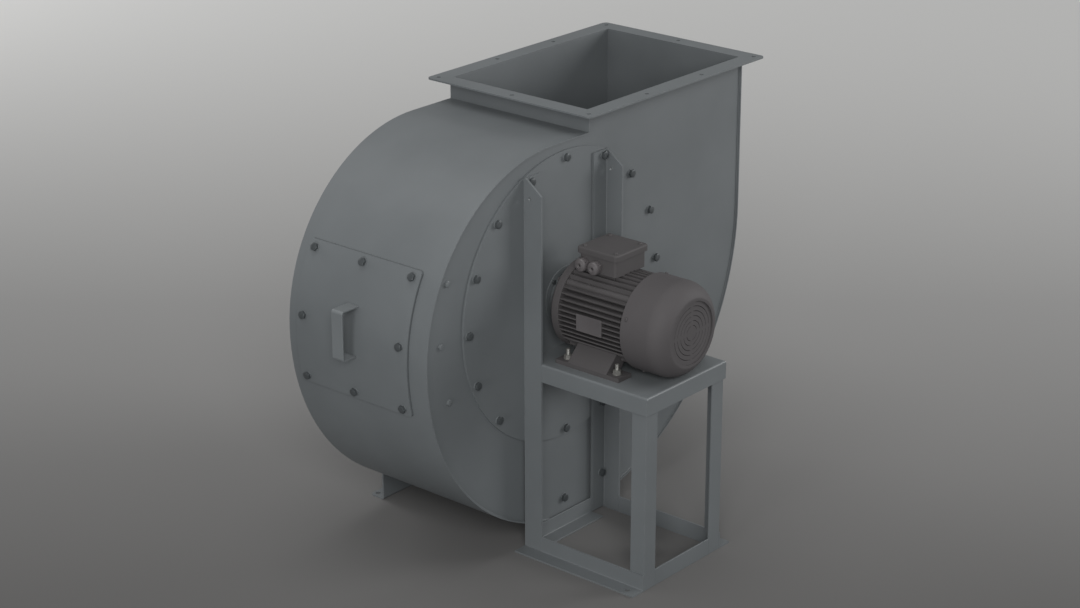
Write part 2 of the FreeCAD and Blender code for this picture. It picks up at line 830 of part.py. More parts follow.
def inlet_cone():
    """A spun bell mouth of thin sheet, from the side plate down into the mouth of the wheel."""
    mouth = spigot_diameter / 2 - cone_sheet
    throat = eye_radius - cone_gap - cone_sheet
    end_y = mouth_y - cone_overlap

    def wall(extra):
        start = Vector(mouth + extra, housing_depth, 0)
        end = Vector(throat + extra, end_y, 0)
        chord = end - start
        sag = cone_bell_radius - sqrt(cone_bell_radius ** 2 - (chord.Length / 2) ** 2)
        normal = Vector(chord.y, -chord.x, 0).normalize()
        return start, (start + end) * 0.5 + normal * sag, end

    start, middle, end = wall(0)
    outer_start, outer_middle, outer_end = wall(cone_sheet)
    edges = [
        Part.Arc(start, middle, end).toShape(),
        Part.LineSegment(end, outer_end).toShape(),
        Part.Arc(outer_end, outer_middle, outer_start).toShape(),
        Part.LineSegment(outer_start, start).toShape(),
    ]
    return Part.Face(Part.Wire(edges)).revolve(Vector(0, 0, 0), Vector(0, 1, 0), 360)


def inlet_spigot():
    """The short tube that a round duct is pushed over, welded upright on the collar."""
    outer = spigot_diameter / 2
    start_y = housing_depth + collar_thickness
    return ring(outer, outer - spigot_sheet, start_y, housing_depth + spigot_length)


def inlet_collar():
    """The flat ring that carries the cone and the tube, and bolts both to the side plate."""
    inner = spigot_diameter / 2 - spigot_sheet
    end_y = housing_depth + collar_thickness
    collar = ring(spigot_diameter / 2 + collar_width, inner, housing_depth, end_y)
    return collar.cut([rod(hole_radius(M8), housing_depth, end_y, p.x, p.z) for p in inlet_bolt_points()])


def inlet_bolts():
    grip = collar_thickness + sheet
    solids = []
    for point in inlet_bolt_points():
        seat = Vector(point.x, housing_depth + collar_thickness, point.z)
        direction = Vector(0, 1, 0)
        solids += [placed(solid, seat, direction) for solid in bolt(M8, bolt_reach(M8, grip), False)]
        solids.append(placed(nut(M8, grip), seat, direction))
    return Part.makeCompound(solids)


# Pedestal

def angle_profile(leg, thickness):
    """An equal angle with its heel at the origin and its legs along +X and +Y."""
    inner = thickness
    points = [(leg, 0), (leg, thickness), (inner, inner), (thickness, leg), (0, leg), (0, 0), (leg, 0)]
    corners = [Vector(u, v, 0) for u, v in points]
    root = rounded_edges(corners[1:4], [root_radius])
    sides = [Part.LineSegment(a, b).toShape() for a, b in zip(corners[3:], corners[4:])]
    sides.append(Part.LineSegment(corners[0], corners[1]).toShape())
    return Part.Face(Part.Wire(Part.__sortEdges__(root + sides)))


def angle_bar(leg, thickness, length, heel, first_leg, second_leg):
    """A bar of angle iron from its heel, along the cross of its two leg directions."""
    bar = angle_profile(leg, thickness).extrude(Vector(0, 0, length))
    rotation = Rotation(first_leg, second_leg, first_leg.cross(second_leg), "ZXY")
    bar.Placement = Placement(heel, rotation)
    return bar


def rear_post():
    """The right one: a leg flat on the disc and one outstanding, sloped off at its top."""
    foot = floor + rail_thickness
    heel = Vector(half_width, post_face_y, foot)
    bar = angle_bar(post_leg, post_thickness, post_top - foot, heel, Vector(-1, 0, 0), Vector(0, -1, 0))
    back = post_face_y - post_thickness
    slope = [
        Vector(0, back, post_top),
        Vector(0, post_front_y, post_top - post_slope_drop),
        Vector(0, post_front_y, post_top),
        Vector(0, back, post_top),
    ]
    wedge = Part.Face(Part.makePolygon(slope)).extrude(Vector(2 * half_width, 0, 0))
    x, z = lower_bolt_points()[1]
    cuts = [wedge]
    cuts.append(rod(hole_radius(M10), back, post_face_y, post_bolt_x, post_bolt_z))
    cuts.append(rod(hole_radius(M10), back, post_face_y, post_bolt_x, -post_bolt_z))
    cuts.append(rod(hole_radius(M10), back, post_face_y, x, z))
    hole_at = Vector(0, post_face_y - post_hole_reach, post_top - post_hole_drop)
    cuts.append(Part.makeCylinder(post_hole_radius, 2 * half_width, hole_at, Vector(1, 0, 0)))
    return bar.cut(cuts)


def front_post():
    """The right one, from the floor to the underside of the table."""
    height = table_top - table_thickness - floor
    heel = Vector(front_post_x, front_post_y, floor)
    return angle_bar(rail_leg, rail_thickness, height, heel, Vector(0, 1, 0), Vector(-1, 0, 0))


def base_rail_side():
    """The right one: its floor leg runs under the rear post, its upright leg stops against it."""
    heel = Vector(front_post_x, post_face_y, floor)
    length = post_face_y - front_post_y
    bar = angle_bar(rail_leg, rail_thickness, length, heel, Vector(1, 0, 0), Vector(0, 0, 1))
    notch = box(0, rail_reach, post_front_y, post_face_y, floor + rail_thickness, floor + rail_leg)
    hole = Part.makeCylinder(floor_hole_radius, rail_thickness, Vector(floor_hole_x, front_hole_y, floor))
    return bar.cut([notch, hole])


def base_rail_front():
    half = front_post_x - rail_leg
    heel = Vector(-half, front_post_y, floor)
    return angle_bar(rail_leg, rail_thickness, 2 * half, heel, Vector(0, 1, 0), Vector(0, 0, 1))


def base_rail_rear():
    half = half_width - post_leg
    heel = Vector(half, post_face_y, floor)
    return angle_bar(rail_leg, rail_thickness, 2 * half, heel, Vector(0, -1, 0), Vector(0, 0, 1))


def motor_table():
    """A folded tray: three rims outside the front posts, and a tail between the rear posts."""
    t = table_thickness
    bottom = table_top - table_rim
    outside = box(-half_width, half_width, table_end_y, post_front_y, bottom, table_top)
    inside = box(-front_post_x, front_post_x, front_post_y, post_front_y, bottom, table_top - t)
    tray = outside.cut(inside)
    folds = []
    for edge in tray.Edges:
        middle = edge.CenterOfMass
        on_side = abs(abs(middle.x) - half_width) < slip_fit or abs(middle.y - table_end_y) < slip_fit
        if on_side and abs(middle.z - table_top) < slip_fit:
            folds.append(edge)
    tray = tray.makeFillet(table_bend, folds)
    tail_half = half_width - post_thickness - table_gap
    tail_end = post_face_y - post_thickness - table_gap
    tail = box(-tail_half, tail_half, post_front_y - t, tail_end, table_top - t, table_top)
    holes = []
    for x, y in motor_foot_points():
        holes.append(Part.makeCylinder(hole_radius(M10), t, Vector(x, y, table_top - t)))
    return tray.fuse(tail).removeSplitter().cut(holes)


def foot_bolt_points():
    z = floor + foot_height - foot_bolt_drop
    return [(-foot_bolt_x, z), (foot_bolt_x, z)]


def inlet_foot():
    """A folded foot under the inlet side plate, its lower corners rounded."""
    half = floor_hole_x + foot_edge
    t = foot_thickness
    path = [(foot_face_y, floor + foot_height), (foot_face_y, floor), (foot_face_y + foot_depth, floor)]
    face = bent_strip(path, t, t)
    strip = face.extrude(Vector(0, 0, 2 * half))
    rotation = Rotation(Vector(0, 1, 0), Vector(0, 0, 1), Vector(1, 0, 0), "ZXY")
    strip.Placement = Placement(Vector(-half, 0, 0), rotation)
    end_y = foot_face_y + foot_depth
    corners = []
    for edge in strip.Edges:
        middle = edge.CenterOfMass
        upright = abs(edge.tangentAt(edge.FirstParameter).z) > 0.5
        if upright and abs(middle.y - end_y) < slip_fit:
            corners.append(edge)
    strip = strip.makeFillet(foot_corner_radius, corners)
    cuts = []
    for x in (-floor_hole_x, floor_hole_x):
        cuts.append(Part.makeCylinder(floor_hole_radius, t, Vector(x, rear_hole_y, floor)))
    cuts += [rod(hole_radius(M10), foot_face_y, foot_face_y + t, x, z) for x, z in foot_bolt_points()]
    return strip.cut(cuts)


def inlet_foot_bolts():
    grip = foot_thickness + wrapper_lip + sheet
    seat_y = foot_face_y + foot_thickness
    solids = []
    for x, z in foot_bolt_points():
        solids += bolt_at(M10, x, seat_y, z, grip, toward_motor=False)
        solids.append(placed(nut(M10, grip), Vector(x, seat_y, z), Vector(0, 1, 0)))
    return Part.makeCompound(solids)


# Motor, measured back from the shaft shoulder

boss_y = shoulder_y - boss_setback
shield_y = boss_y - boss_height
frame_y = shield_y - shield_length
frame_end_y = frame_y - frame_length
front_bearing_y = shoulder_y - bearing_setback
rear_bearing_y = frame_end_y + rear_bearing_inset
rear_shield_y = frame_end_y - shield_wall + shield_chamfer / 2
stator_middle_y = (frame_y + frame_end_y) / 2
fan_y = rear_bearing_y - bearing_width - cooling_fan_setback
cover_y = frame_end_y + cover_overlap
cover_end_y = cover_y - cover_length
terminal_y = shoulder_y - terminal_setback
terminal_top = terminal_base_height + terminal_height
plate_y = shoulder_y - plate_setback


def motor_foot_points():
    return [(x, y) for x in (-foot_x, foot_x) for y in (front_foot_y, rear_foot_y)]


def tie_points():
    return [polar(tie_boss_circle, radians(45 + 90 * k)) for k in range(4)]


def fin_profile():
    """Round wall with fins standing level on the sides and upright above and below, and tie bosses."""
    wall_radius = frame_bore_radius + frame_wall
    outlines = []
    half = (fins_per_side - 1) / 2
    for k in range(fins_per_side):
        offset = (k - half) * fin_pitch
        tip = sqrt(fin_tip_radius ** 2 - offset ** 2)
        wall = sqrt(max(wall_radius ** 2 - offset ** 2, 0))
        root = max(abs(offset) + fin_thickness, wall - fin_thickness)
        if tip - root < fin_thickness:
            continue
        low = offset - fin_thickness / 2
        high = offset + fin_thickness / 2
        for side in (-1, 1):
            outlines.append(((side * root, low), (side * tip, low), (side * tip, high), (side * root, high)))
            outlines.append(((low, side * root), (low, side * tip), (high, side * tip), (high, side * root)))
    faces = []
    for outline in outlines:
        corners = [Vector(x, 0, z) for x, z in outline]
        faces.append(Part.Face(Part.makePolygon(corners + corners[:1])))
    return wall_radius, faces


def motor_frame():
    wall_radius, fins = fin_profile()
    length = Vector(0, -frame_length, 0)
    solid = rod(wall_radius, frame_end_y, frame_y)
    additions = []
    for face in fins:
        fin = face.extrude(length)
        fin.translate(Vector(0, frame_y, 0))
        additions.append(fin)
    for point in tie_points():
        additions.append(rod(tie_boss_radius, frame_end_y, frame_y, point.x, point.z))
    solid = solid.fuse(additions)
    reach = terminal_size / 2 - terminal_seat_inset
    seat = box(-reach, reach, terminal_y - reach, terminal_y + reach, 0, terminal_base_height)
    above_seat = terminal_size / 2
    clearance = box(
        -above_seat, above_seat, terminal_y - above_seat, terminal_y + above_seat,
        terminal_base_height, shield_radius,
    )
    pad_half = plate_length / 2 - sheet
    low = -plate_drop - plate_height / 2 + sheet
    high = -plate_drop + plate_height / 2 - sheet
    pad = box(-plate_seat, 0, plate_y - pad_half, plate_y + pad_half, low, high)
    solid = solid.cut(clearance).fuse([seat, pad] + motor_feet())
    bore = rod(frame_bore_radius, frame_end_y, frame_y)
    cuts = [bore]
    for point in tie_points():
        radius = tie_screw["shank"] + slip_fit
        cuts.append(rod(radius, frame_y - tie_depth(), frame_y, point.x, point.z))
        cuts.append(rod(radius, frame_end_y, frame_end_y + tie_depth(), point.x, point.z))
    for x, y in motor_foot_points():
        hole_at = Vector(x, y, table_top)
        cuts.append(Part.makeCylinder(hole_radius(M10), foot_pad_thickness, hole_at))
    return solid.cut(cuts).removeSplitter()


def tie_depth():
    return 5 * tie_screw["shank"]


def motor_feet():
    """Two cast feet: a pad along each side and a sloping web up to the frame between the bolts."""
    outer = foot_x + foot_side
    start = front_foot_y + foot_end
    end = rear_foot_y - foot_end
    pad_top = table_top + foot_pad_thickness
    middle = (front_foot_y + rear_foot_y) / 2
    wall = frame_bore_radius + frame_wall / 2
    low_x = foot_root_low
    high_z = foot_root_high
    feet = []
    for side in (-1, 1):
        x0, x1 = sorted((side * foot_pad_inner, side * outer))
        feet.append(box(x0, x1, end, start, table_top, pad_top))
        web = [
            Vector(side * low_x, 0, -sqrt(wall ** 2 - low_x ** 2)),
            Vector(side * foot_pad_inner, 0, table_top),
            Vector(side * outer, 0, table_top),
            Vector(side * outer, 0, pad_top),
            Vector(side * sqrt(fin_tip_radius ** 2 - foot_web_top ** 2), 0, -foot_web_top),
            Vector(side * sqrt(wall ** 2 - high_z ** 2), 0, -high_z),
        ]
        face = Part.Face(Part.makePolygon(web + web[:1]))
        solid = face.extrude(Vector(0, foot_web_length, 0))
        solid.translate(Vector(0, middle - foot_web_length / 2, 0))
        feet.append(solid)
    return feet


def drive_end_shield():
    """Cast end shield with its bearing seat, and a spigot in the bore of the frame."""
    spigot = frame_bore_radius - slip_fit
    seat = bearing_outer_radius + slip_fit
    throat = bearing_bore_radius + shaft_hole_gap
    bearing_end = front_bearing_y - bearing_width - thread_spare
    profile = [
        (throat, boss_y),
        (boss_radius, boss_y),
        (boss_radius + boss_height, shield_y),
        (shield_radius - shield_chamfer, shield_y),
        (shield_radius, shield_y - shield_chamfer),
        (shield_radius, frame_y),
        (spigot, frame_y),
        (spigot, frame_y - shield_spigot),
        (spigot - shield_spigot, frame_y - shield_spigot),
        (spigot - shield_spigot, shield_y - shield_wall),
        (seat + bearing_wall, shield_y - shield_wall + thread_spare),
        (seat + bearing_wall, bearing_end),
        (seat, bearing_end),
        (seat, front_bearing_y + slip_fit),
        (throat, front_bearing_y + slip_fit),
    ]
    tie_hole = hole_radius(tie_screw)
    holes = [rod(tie_hole, frame_y, shield_y, p.x, p.z) for p in tie_points()]
    return turned(profile).cut(holes)


def fan_end_shield():
    spigot = frame_bore_radius - slip_fit
    seat = bearing_outer_radius + slip_fit
    throat = bearing_bore_radius + shaft_hole_gap
    bearing_start = rear_bearing_y + thread_spare
    seat_end = rear_bearing_y - bearing_width - slip_fit
    outer_y = frame_end_y - shield_wall + thread_spare
    rim = fin_tip_radius - shield_chamfer
    profile = [
        (seat, bearing_start),
        (seat, seat_end),
        (throat, seat_end),
        (throat, seat_end - bearing_wall),
        (seat + bearing_wall, seat_end - bearing_wall),
        (seat + bearing_wall + boss_height, outer_y),
        (rim, outer_y),
        (rim, frame_end_y),
        (spigot, frame_end_y),
        (spigot, frame_end_y + shield_spigot),
        (spigot - shield_spigot, frame_end_y + shield_spigot),
        (spigot - shield_spigot, frame_end_y),
        (seat + bearing_wall, frame_end_y),
        (seat + bearing_wall, bearing_start),
    ]
    solid = turned(profile)
    reach = cover_radius - cover_sheet - slip_fit
    half_lug = cover_lug_width / 2
    lugs = []
    for k in range(4):
        lug = box(rim - shield_chamfer, reach, outer_y, frame_end_y, -half_lug, half_lug)
        lug = lug.common(rod(reach, outer_y, frame_end_y))
        lug.rotate(Vector(0, 0, 0), Vector(0, 1, 0), 90 * k + cover_lug_angle)
        lugs.append(lug)
    tie_hole = hole_radius(tie_screw)
    holes = [rod(tie_hole, outer_y, frame_end_y, p.x, p.z) for p in tie_points()]
    holes += cover_screw_shanks(slip_fit)
    return solid.fuse(lugs).cut(holes).removeSplitter()


def cover_screw_height():
    return frame_end_y - (shield_wall - thread_spare) / 2


def cover_screw_shanks(extra):
    """The four screws' shanks, pointing in through the cover, made larger by extra."""
    shanks = []
    tip = Vector(cover_radius - cover_screw_depth, 0, 0)
    for k in range(4):
        shank = Part.makeCylinder(lid_screw_radius + extra, cover_screw_depth, tip, Vector(1, 0, 0))
        shank.rotate(Vector(0, 0, 0), Vector(0, 1, 0), 90 * k + cover_lug_angle)
        shank.translate(Vector(0, cover_screw_height(), 0))
        shanks.append(shank)
    return shanks


def shield_screws():
    rear_grip = shield_wall - thread_spare
    solids = []
    for point in tie_points():
        for seat, outward, grip in ((shield_y, 1, shield_length), (frame_end_y - rear_grip, -1, rear_grip)):
            screw = bolt(tie_screw, grip + 4 * tie_screw["shank"], washer=False)[0]
            solids.append(placed(screw, Vector(point.x, seat, point.z), Vector(0, outward, 0)))
    return Part.makeCompound(solids)


def cover_screws():
    solids = []
    seat = Vector(cover_radius, 0, 0)
    for k, shank in enumerate(cover_screw_shanks(0)):
        head = Part.makeCylinder(lid_screw_head, screw_head_height, seat, Vector(1, 0, 0))
        head.rotate(Vector(0, 0, 0), Vector(0, 1, 0), 90 * k + cover_lug_angle)
        head.translate(Vector(0, cover_screw_height(), 0))
        solids.append(shank.fuse(head).removeSplitter())
    return Part.makeCompound(solids)


def fan_cover():
    """A deep-drawn sheet cover, straight, then rounded in to a rim round a recessed, finely slotted end."""
    t = cover_sheet
    straight_end = cover_y - cover_straight
    recess_y = cover_end_y + cover_recess
    recess_radius = cover_end_radius - cover_rim
    outer_start = Vector(cover_radius, straight_end, 0)
    outer_end = Vector(cover_end_radius, cover_end_y, 0)
    inner_start = Vector(cover_radius - t, straight_end, 0)
    inner_end = Vector(cover_end_radius - t, cover_end_y + t, 0)

    def bulge(start, end):
        """Middle of an arc that leaves the straight part without a kink."""
        run = start.y - end.y
        fall = start.x - end.x
        radius = (run ** 2 + fall ** 2) / (2 * fall)
        half_turn = asin(run / radius) / 2
        return Vector(start.x - radius + radius * cos(half_turn), start.y - radius * sin(half_turn), 0)

    outer_path = [
        outer_end,
        Vector(recess_radius, cover_end_y, 0),
        Vector(recess_radius, recess_y, 0),
        Vector(0, recess_y, 0),
    ]
    inner_path = [
        Vector(0, recess_y + t, 0),
        Vector(recess_radius + t, recess_y + t, 0),
        Vector(recess_radius + t, cover_end_y + t, 0),
        inner_end,
    ]
    corners = outer_path + inner_path
    edges = [Part.LineSegment(a, b).toShape() for a, b in zip(corners, corners[1:])]
    open_outer = Vector(cover_radius, cover_y, 0)
    open_inner = Vector(cover_radius - t, cover_y, 0)
    edges += [
        Part.Arc(inner_end, bulge(inner_start, inner_end), inner_start).toShape(),
        Part.LineSegment(inner_start, open_inner).toShape(),
        Part.LineSegment(open_inner, open_outer).toShape(),
        Part.LineSegment(open_outer, outer_start).toShape(),
        Part.Arc(outer_start, bulge(outer_start, outer_end), outer_end).toShape(),
    ]
    cover = Part.Face(Part.Wire(edges)).revolve(Vector(0, 0, 0), Vector(0, 1, 0), 360)
    half_rib = cover_rib_width / 2
    ribs = [
        box(-cover_radius, cover_radius, recess_y, recess_y + t, -half_rib, half_rib),
        box(-half_rib, half_rib, recess_y, recess_y + t, -cover_radius, cover_radius),
    ]
    cuts = []
    for k in range(cover_slot_rings):
        outer = recess_radius - (k + 1) * cover_slot_pitch
        cuts.append(ring(outer, outer - cover_slot_width, recess_y, recess_y + t).cut(ribs))
    return cover.cut(cuts + cover_screw_shanks(bolt_clearance))


def stator_core():
    outer = frame_bore_radius - slip_fit
    half = stator_length / 2
    return ring(outer, rotor_radius + air_gap, stator_middle_y - half, stator_middle_y + half)


def stator_winding():
    half = stator_length / 2
    rings = []
    for start in (stator_middle_y + half, stator_middle_y - half - winding_overhang):
        rings.append(ring(winding_outer_radius, winding_inner_radius, start, start + winding_overhang))
    return Part.makeCompound(rings)


def bearing_places():
    return [front_bearing_y, rear_bearing_y]


def bearing_outer_rings():
    """Outer rings with thin shields that reach in close to the inner ring."""
    solids = []
    shield = bearing_shield
    shield_outer = bearing_outer_inner_radius + shield
    shield_inner = bearing_inner_radius + shield_gap
    for y in bearing_places():
        body = ring(bearing_outer_radius, bearing_outer_inner_radius, y - bearing_width, y)
        for start in (y - bearing_width, y - shield):
            body = body.fuse(ring(shield_outer, shield_inner, start, start + shield))
        solids.append(body.removeSplitter())
    return Part.makeCompound(solids)


def bearing_inner_rings():
    bore = bearing_bore_radius + slip_fit
    rings = [ring(bearing_inner_radius, bore, y - bearing_width, y) for y in bearing_places()]
    return Part.makeCompound(rings)


def motor_shaft():
    """Stepped shaft from the wheel to the cooling fan, with its keyway and end thread."""
    core_start = front_bearing_y - bearing_width - thread_spare
    core_end = rear_bearing_y + thread_spare
    tail = rear_bearing_y - bearing_width - shield_spigot
    profile = [
        (0, shaft_end_y),
        (shaft_radius, shaft_end_y),
        (shaft_radius, shoulder_y),
        (bearing_bore_radius, shoulder_y),
        (bearing_bore_radius, core_start),
        (rotor_bore_radius, core_start),
        (rotor_bore_radius, core_end),
        (bearing_bore_radius, core_end),
        (bearing_bore_radius, tail),
        (fan_shaft_radius, tail),
        (fan_shaft_radius, tail - fan_shaft_length),
        (0, tail - fan_shaft_length),
    ]
    shaft = turned(profile)
    keyway = key_block(slip_fit)
    thread = rod(M10["shank"] + slip_fit, shaft_end_y - shaft_extension / 2, shaft_end_y)
    return shaft.cut([keyway, thread])


def key_block(extra):
    """The key, on top of the shaft, made larger on its sides by extra."""
    low = shaft_radius - key_depth_in_shaft
    start = hub_start_y + thread_spare
    half = key_width / 2 + extra
    return box(-half, half, start - extra, start + key_length + extra, low, low + key_height)


def shaft_key():
    return key_block(0)


def rotor_core():
    half = stator_length / 2
    return ring(rotor_radius, rotor_bore_radius + slip_fit, stator_middle_y - half, stator_middle_y + half)


def cooling_fan():
    """A small radial fan with straight blades on the tail of the shaft."""
    start = fan_y - cooling_fan_width
    hub = ring(cooling_fan_hub_radius, fan_shaft_radius + slip_fit, start, fan_y)
    plate_start = fan_y - cooling_fan_plate
    root = cooling_fan_hub_radius - cooling_fan_plate / 2
    plate = ring(cooling_fan_radius, root, plate_start, fan_y)
    blades = []
    for k in range(cooling_fan_blades):
        half = cooling_fan_plate / 2
        blade = box(root, cooling_fan_radius, start, fan_y, -half, half)
        blade.rotate(Vector(0, 0, 0), Vector(0, 1, 0), 360 * k / cooling_fan_blades)
        blades.append(blade)
    return hub.fuse([plate] + blades).removeSplitter()


def terminal_box():
    size = terminal_size / 2
    base = terminal_base_height
    body = box(-size, size, terminal_y - size, terminal_y + size, base, terminal_top)
    inner = size - terminal_wall
    room = box(-inner, inner, terminal_y - inner, terminal_y + inner, base + terminal_floor, terminal_top)
    corners = [edge for edge in body.Edges if abs(edge.tangentAt(0).z) > 0.5]
    body = body.makeFillet(2 * terminal_wall, corners)
    holes = [Part.makeCylinder(gland_thread_radius + slip_fit, terminal_wall, point, Vector(1, 0, 0))
             for point in gland_points()]
    pillar_radius = lid_screw_head + lid_pillar_wall
    pillars = []
    bores = []
    for x, y in lid_screw_points():
        pillars.append(Part.makeCylinder(pillar_radius, terminal_height, Vector(x, y, base)))
        bore_base = Vector(x, y, terminal_top - 2 * lid_screw_grip)
        bores.append(Part.makeCylinder(lid_screw_radius + slip_fit, 2 * lid_screw_grip, bore_base))
    return body.cut(room).fuse(pillars).removeSplitter().cut(holes + bores)


def lid_screw_points():
    reach = terminal_size / 2 - lid_screw_inset
    return [(x, terminal_y + y) for x in (-reach, reach) for y in (-reach, reach)]


def terminal_box_lid():
    """A deep lid that stands out past the box, hollow, with a stepped seat on the walls of the box."""
    size = lid_size / 2
    plate = rounded_plate(-size, size, terminal_y - size, terminal_y + size, 2 * lid_wall, lid_height)
    upper = [edge for edge in plate.Edges if edge.BoundBox.ZMin > lid_height - slip_fit]
    plate = plate.makeFillet(lid_wall, upper)
    plate.translate(Vector(0, 0, terminal_top))
    hollow = size - lid_wall
    room_top = terminal_top + lid_height - lid_wall
    room = box(-hollow, hollow, terminal_y - hollow, terminal_y + hollow, terminal_top, room_top)
    seat_top = terminal_top + lid_wall
    inner = terminal_size / 2 - terminal_wall - lid_wall / 2
    seat = box(-hollow, hollow, terminal_y - hollow, terminal_y + hollow, terminal_top, seat_top)
    seat = seat.cut(box(-inner, inner, terminal_y - inner, terminal_y + inner, terminal_top, seat_top))
    pillars = []
    holes = []
    for x, y in lid_screw_points():
        base = Vector(x, y, terminal_top)
        pillars.append(Part.makeCylinder(lid_screw_head + lid_pillar_wall, lid_height - lid_wall, base))
        holes.append(Part.makeCylinder(lid_screw_radius + bolt_clearance, lid_height, base))
    return plate.cut(room).fuse([seat] + pillars).removeSplitter().cut(holes)


def lid_screws():
    solids = []
    top = terminal_top + lid_height
    reach = lid_height + lid_screw_grip
    for x, y in lid_screw_points():
        head = Part.makeCylinder(lid_screw_head, screw_head_height, Vector(x, y, top))
        shank = Part.makeCylinder(lid_screw_radius, reach, Vector(x, y, top - reach))
        solids.append(head.fuse(shank).removeSplitter())
    return Part.makeCompound(solids)


def terminal_block():
    """Six studs on an insulating block on the floor of the box."""
    base = terminal_base_height + terminal_floor
    half_width = block_width / 2
    start_y = terminal_y - block_length / 2
    solid = box(-half_width, half_width, start_y, start_y + block_length, base, base + block_height)
    studs = []
    for x in (-stud_row_gap / 2, stud_row_gap / 2):
        for k in (-1, 0, 1):
            foot = Vector(x, terminal_y + stud_pitch * k, base)
            studs.append(Part.makeCylinder(stud_radius, stud_height, foot))
    return solid.fuse(studs).removeSplitter()


def gland_points():
    """Where the glands leave the wall of the terminal box, on the side of -X."""
    x = -terminal_size / 2
    z = terminal_base_height + gland_height
    middle = terminal_y + gland_shift
    return [Vector(x, middle + k * gland_spacing / 2, z) for k in (-1, 1)]


def cable_glands():
    solids = []
    for point in gland_points():
        thread = disc(gland_thread_radius, terminal_wall, -terminal_wall)
        body = hexagon(gland_hex, gland_hex_length)
        cap = disc(gland_cap_radius, gland_length - gland_hex_length, gland_hex_length)
        edges = [edge for edge in cap.Edges if edge.BoundBox.ZMin > gland_length - slip_fit]
        cap = cap.makeFillet(gland_cap_radius / 3, edges)
        solid = thread.fuse([body, cap]).removeSplitter()
        solids.append(placed(solid, point, Vector(-1, 0, 0)))
    return Part.makeCompound(solids)


def nameplate():
    """The rating plate's blank: it carries nothing."""
    half = plate_length / 2
    low = -plate_drop - plate_height / 2
    outer = -plate_seat - plate_thickness
    return box(outer, -plate_seat, plate_y - half, plate_y + half, low, low + plate_height)


def motor_foot_bolts():
    """Bolts from below, each with a washer and a nut on the foot and the rest of its thread standing out."""
    foot_top = table_top + foot_pad_thickness
    grip = foot_pad_thickness + table_thickness
    reach = grip + M10["washer_thickness"] + M10["nut"] + foot_stud_show
    hole = disc(M10["shank"] + slip_fit, M10["washer_thickness"])
    washer = disc(M10["washer"], M10["washer_thickness"]).cut(hole)
    upper_nut = nut(M10, M10["washer_thickness"])
    solids = []
    for x, y in motor_foot_points():
        below = Vector(x, y, table_top - table_thickness)
        solids += [placed(solid, below, Vector(0, 0, -1)) for solid in bolt(M10, reach, washer=False)]
        solids.append(placed(washer, Vector(x, y, foot_top), Vector(0, 0, 1)))
        solids.append(placed(upper_nut, Vector(x, y, foot_top), Vector(0, 0, -1)))
    return Part.makeCompound(solids)


# Wheel

def rivet_points():
    return [polar(rivet_circle_radius, 2 * pi * k / rivet_count) for k in range(rivet_count)]


def impeller_hub():
    bore = shaft_radius + slip_fit
    profile = [
        (bore, hub_start_y),
        (hub_radius, hub_start_y),
        (hub_radius, back_plate_y - hub_flange_thickness),
        (hub_flange_radius, back_plate_y - hub_flange_thickness),
        (hub_flange_radius, back_plate_y),
        (hub_radius, back_plate_y),
        (hub_radius, hub_end_y),
        (bore, hub_end_y),
    ]
    low = shaft_radius - key_depth_in_shaft
    half = key_width / 2 + slip_fit
    keyway = box(-half, half, hub_start_y, hub_end_y, low, low + key_height + slip_fit)
    start = back_plate_y - hub_flange_thickness
    holes = [rod(rivet_radius + slip_fit, start, back_plate_y, p.x, p.z) for p in rivet_points()]
    return turned(profile).cut([keyway] + holes)


def impeller_back_plate():
    plate = ring(wheel_radius, hub_radius + slip_fit, back_plate_y, blade_y)
    holes = [rod(rivet_radius + slip_fit, back_plate_y, blade_y, p.x, p.z) for p in rivet_points()]
    return plate.cut(holes)


def hub_rivets():
    start = back_plate_y - hub_flange_thickness
    solids = []
    for point in rivet_points():
        shank = rod(rivet_radius, start, blade_y, point.x, point.z)
        head = rod(rivet_head_radius, blade_y, blade_y + rivet_head_height, point.x, point.z)
        tail = rod(rivet_head_radius, start - rivet_head_height, start, point.x, point.z)
        solids.append(shank.fuse([head, tail]).removeSplitter())
    return Part.makeCompound(solids)


def shroud_corner():
    """Where the leaning part of the shroud would meet its mouth, as (radius, y)."""
    return eye_radius, blade_y + rim_width + shroud_rise


def impeller_shroud():
    """The dished front plate of the wheel, turned from one bent strip."""
    corner_radius, corner_y = shroud_corner()
    path = [(corner_radius, mouth_y), (corner_radius, corner_y), (wheel_radius, blade_y + rim_width)]
    face = bent_strip(path, wheel_sheet, shroud_bend - wheel_sheet)
    return face.revolve(Vector(0, 0, 0), Vector(0, 1, 0), 360)


def blade_channel():
    """The space that the blades fill between back plate and shroud, as a turned solid."""
    corner_radius, corner_y = shroud_corner()
    lean = atan2(shroud_rise, wheel_radius - corner_radius)
    turn = pi / 2 - lean
    bend_start = corner_radius + shroud_bend * tan(turn / 2) * cos(lean)
    bend_y = blade_y + rim_width + (wheel_radius - bend_start) * tan(lean)
    profile = [
        (eye_radius, blade_y),
        (wheel_radius, blade_y),
        (wheel_radius, blade_y + rim_width),
        (bend_start, bend_y),
    ]
    return turned(profile)


